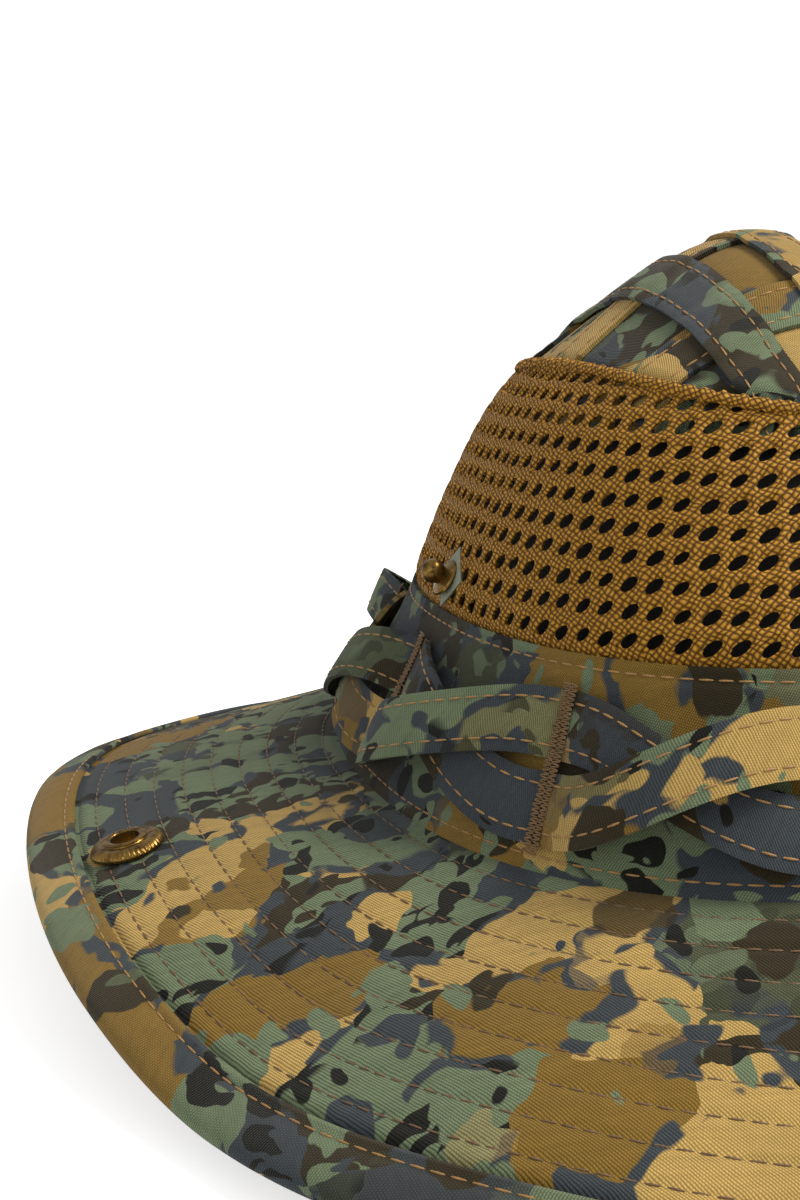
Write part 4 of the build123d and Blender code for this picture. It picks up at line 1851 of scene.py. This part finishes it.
@dataclass
class Snap:
    """Press snap of one side: socket ring on the brim, ball stud and cloth patch on the mesh."""

    form: HatForm
    side: Side
    finishes: Finishes
    ball: float = 2.45 * MM
    proud: float = 1.07
    teeth: int = 48
    ring_slope: float = 13.0
    stud_slope: float = 30.5
    ring_middle: float = 1.25 * MM

    def socket(self) -> bpy.types.Object:
        """Ring spun from its section, its rim milled and its face dented.

        Returns:
            The piece.
        """
        low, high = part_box(f"snap_socket_{self.side.hand}")
        slope = math.radians(self.ring_slope) * self.side.value
        up = Vector((math.sin(slope), 0, math.cos(slope)))
        section = [(2.95, 0.15), (6.3, 0.15), (6.75, 0.45), (6.85, 0.95), (6.7, 1.35), (6.35, 1.75), (5.85, 2.05),
                   (5.2, 2.16), (4.5, 2.10), (4.1, 2.14), (3.9, 2.5), (3.5, 2.72), (3.1, 2.6), (2.9, 2.3),
                   (2.75, 1.4), (2.75, 0.5)]
        steps, n = self.teeth * 6, len(section)
        angle = np.repeat(np.linspace(0, 2 * np.pi, steps, endpoint=False), n)
        radius, height = np.tile(np.array(section), (steps, 1)).T
        rim = (5.7 < radius) & (radius < 6.8) & (height > 1.2)
        mill = np.where(rim, 0.055 * (1 + np.cos(angle * self.teeth)), 0.0)
        dent = np.where((4.3 < radius) & (radius < 5.6), 0.16 * np.maximum(0.0, np.cos(angle * 7 + 0.4)) ** 10, 0.0)
        points = np.stack([(radius - mill) * np.cos(angle), (radius - mill) * np.sin(angle),
                           height - dent - mill * 0.7], -1) * MM * self.proud
        faces = [(i * n + j, ((i + 1) % steps) * n + j, ((i + 1) % steps) * n + (j + 1) % n, i * n + (j + 1) % n)
                 for i in range(steps) for j in range(n)]
        ring = mesh_object("ring", points, faces)
        edit_all(ring, lambda: bpy.ops.mesh.normals_make_consistent(inside=False))
        turn = Vector((0, 0, 1)).rotation_difference(up)
        centre = (low + high) / 2
        ring.data.transform(Matrix.Translation(centre - up * self.ring_middle) @ turn.to_matrix().to_4x4())
        return settle(ring, f"snap_ring_{self.side.hand}", 35)

    def stud(self) -> bpy.types.Object:
        """Ball stud: a small foot, a neck and a ball, spun round the stud's axis.

        Returns:
            The piece.
        """
        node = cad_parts[f"snap_stud_{self.side.hand}"]
        corners = [node.matrix_world @ v.co for v in node.data.vertices]
        tip = max(corners, key=lambda c: c.x * self.side.value)
        slope = math.radians(self.stud_slope)
        axis = Vector((self.side.value * math.cos(slope), 0, math.sin(slope)))
        centre = Vector((tip.x - self.side.value * self.ball, 0, tip.z))
        section = [(0.0, -3.3), (3.7, -3.3), (3.9, -3.0), (3.7, -2.6), (2.6, -2.2), (1.9, -1.9)]
        ball = self.ball / MM
        section += [(ball * math.sin(math.radians(a)), -ball * math.cos(math.radians(a))) for a in range(52, 180, 8)]
        profile = mesh_object("stud", [(r * MM, 0, h * MM) for r, h in section + [(0.0, ball)]], [])
        build = bmesh.new()
        build.from_mesh(profile.data)
        build.verts.ensure_lookup_table()
        for first, second in zip(build.verts[:-1], build.verts[1:]):
            build.edges.new((first, second))
        bmesh.ops.spin(build, geom=build.verts[:] + build.edges[:], cent=(0, 0, 0), axis=(0, 0, 1),
                       angle=2 * math.pi, steps=40, use_duplicate=False)
        bmesh.ops.remove_doubles(build, verts=build.verts[:], dist=0.005 * MM)
        bmesh.ops.recalc_face_normals(build, faces=build.faces[:])
        build.to_mesh(profile.data)
        build.free()
        turn = Vector((0, 0, 1)).rotation_difference(axis)
        profile.data.transform(Matrix.Translation(centre) @ turn.to_matrix().to_4x4())
        return settle(profile, f"snap_ball_{self.side.hand}", 35)

    def patch(self) -> bpy.types.Object:
        """Square of cloth set on its corner under the stud.

        Returns:
            The piece.
        """
        low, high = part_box(f"stud_patch_{self.side.hand}")
        half = (high.y - low.y) / 2 * 0.8
        lift = (low.z + high.z) / 2 - self.form.seam_z
        climb0 = self.form.climb_of(lift)
        turn0 = 0.25 if self.side is Side.RIGHT else 0.75

        def shape(u: Array, v: Array) -> tuple:
            """Points and places of the patch.

            Args:
                u: shares along.
                v: shares across.

            Returns:
                Points, and places on the cloth.
            """
            a, b = (u + v - 1) * half, (v - u) * half
            climb = climb0 + b
            turn = turn0 + a / (self.form.girth * self.form.share_of(climb))
            edge = np.maximum(np.abs(2 * u - 1), np.abs(2 * v - 1))
            stand = 1.35 * MM - 0.35 * MM * edge ** 6
            points, _ = self.form.off_wall(turn, climb, stand)
            return points, np.stack([u, v], -1) * half * 1.4

        return cloth_sheet(f"stud_cloth_{self.side.hand}", (24, 24), shape, Facing.OUT, 0.5 * MM)

    def build(self) -> None:
        """Make the snap."""
        hand = self.side.hand
        dress(self.socket(), self.finishes.brass, (f"snap_socket_{hand}",), f"{hand}_brim_side")
        dress(self.patch(), self.finishes.patch, (f"stud_patch_{hand}",), "crown")
        dress(self.stud(), self.finishes.brass, (f"snap_stud_{hand}",), "crown")
        for part in ("snap_post", "snap_cap"):
            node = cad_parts[f"{part}_{hand}"]
            node.data.materials.clear()
            node.data.materials.append(self.finishes.brass)


@dataclass
class Studio:
    """Pale floor, soft lights and the camera."""

    eye: tuple = (-0.16368, -0.29712, 0.12958)
    ahead: tuple = (0.28167, 0.94085, -0.18829)
    right: tuple = (0.95758, -0.28809, -0.00706)
    upward: tuple = (0.06089, 0.17831, 0.98209)
    lens: float = 47.74

    def camera(self) -> None:
        """Camera close by the wearer's right front, a little above the brim."""
        data = bpy.data.cameras.new("camera")
        data.lens, data.sensor_width, data.sensor_fit = self.lens, 36.0, "AUTO"
        data.clip_start, data.clip_end = 0.01, 20.0
        camera = bpy.data.objects.new("camera", data)
        bpy.context.scene.collection.objects.link(camera)
        back = -Vector(self.ahead)
        turn = Matrix((self.right, self.upward, back)).transposed().to_4x4()
        camera.matrix_world = Matrix.Translation(Vector(self.eye)) @ turn
        bpy.context.scene.camera = camera

    def light(self, name: str, place: tuple, size: float, power: float, tone: tuple = (1, 1, 1)) -> None:
        """Square soft light aimed at the hat.

        Args:
            name: name of the light.
            place: where it hangs.
            size: length of its side.
            power: in watts.
            tone: colour.
        """
        data = bpy.data.lights.new(name, "AREA")
        data.energy, data.size, data.color = power, size, tone
        lamp = bpy.data.objects.new(name, data)
        bpy.context.scene.collection.objects.link(lamp)
        lamp.location = place
        aim = Vector((-0.03, -0.02, 0.07)) - Vector(place)
        lamp.rotation_mode = "QUATERNION"
        lamp.rotation_quaternion = aim.to_track_quat("-Z", "Y")

    def floor(self) -> None:
        """Pale floor and an even pale surround."""
        clear_selection()
        bpy.ops.mesh.primitive_plane_add(size=14.0, location=(0, 0, -0.0005))
        floor = bpy.context.object
        floor.name = "floor"
        material, n, shader = new_material("pale_floor")
        n.fill(shader, {"Base Color": (0.8, 0.8, 0.8, 1), "Roughness": 0.9, "Emission Color": (1, 1, 1, 1),
                        "Emission Strength": n.edge(n.put("LightPath").outputs["Is Camera Ray"], 0, 1, 0.12, 0.62)})
        floor.data.materials.append(material)
        world = bpy.data.worlds.new("studio")
        world.use_nodes = True
        w = Nodes(world.node_tree)
        w.fill(w.tree.nodes["Background"], {
            "Color": (1, 1, 1, 1), "Strength": w.edge(w.put("LightPath").outputs["Is Camera Ray"], 0, 1, 0.55, 1.05)})
        bpy.context.scene.world = world

    def build(self) -> None:
        """Set the studio up."""
        self.camera()
        self.light("key", (0.75, -0.35, 1.15), 0.6, 23.0, (1.0, 0.95, 0.87))
        self.light("fill", (-1.1, -0.8, 0.6), 0.9, 3.0, (0.95, 0.98, 1.0))
        self.floor()
        bpy.context.scene.view_settings.view_transform = "Standard"


def main() -> None:
    """Build the hat in order."""
    logging.basicConfig(level=logging.INFO, format="%(name)s: %(message)s")
    form = HatForm.from_frame()
    finishes = Finishes()
    Studio().build()
    for side in Side:
        BrimHalf(form, side, finishes).build()
    CrownShell(form, finishes).build()
    MeshWall(form, finishes).build()
    TopTapes(form, finishes).build()
    FoliageTapes(form, finishes).build()
    for side in Side:
        Snap(form, side, finishes).build()
    clear_selection()


if __name__ == "__main__":
    main()
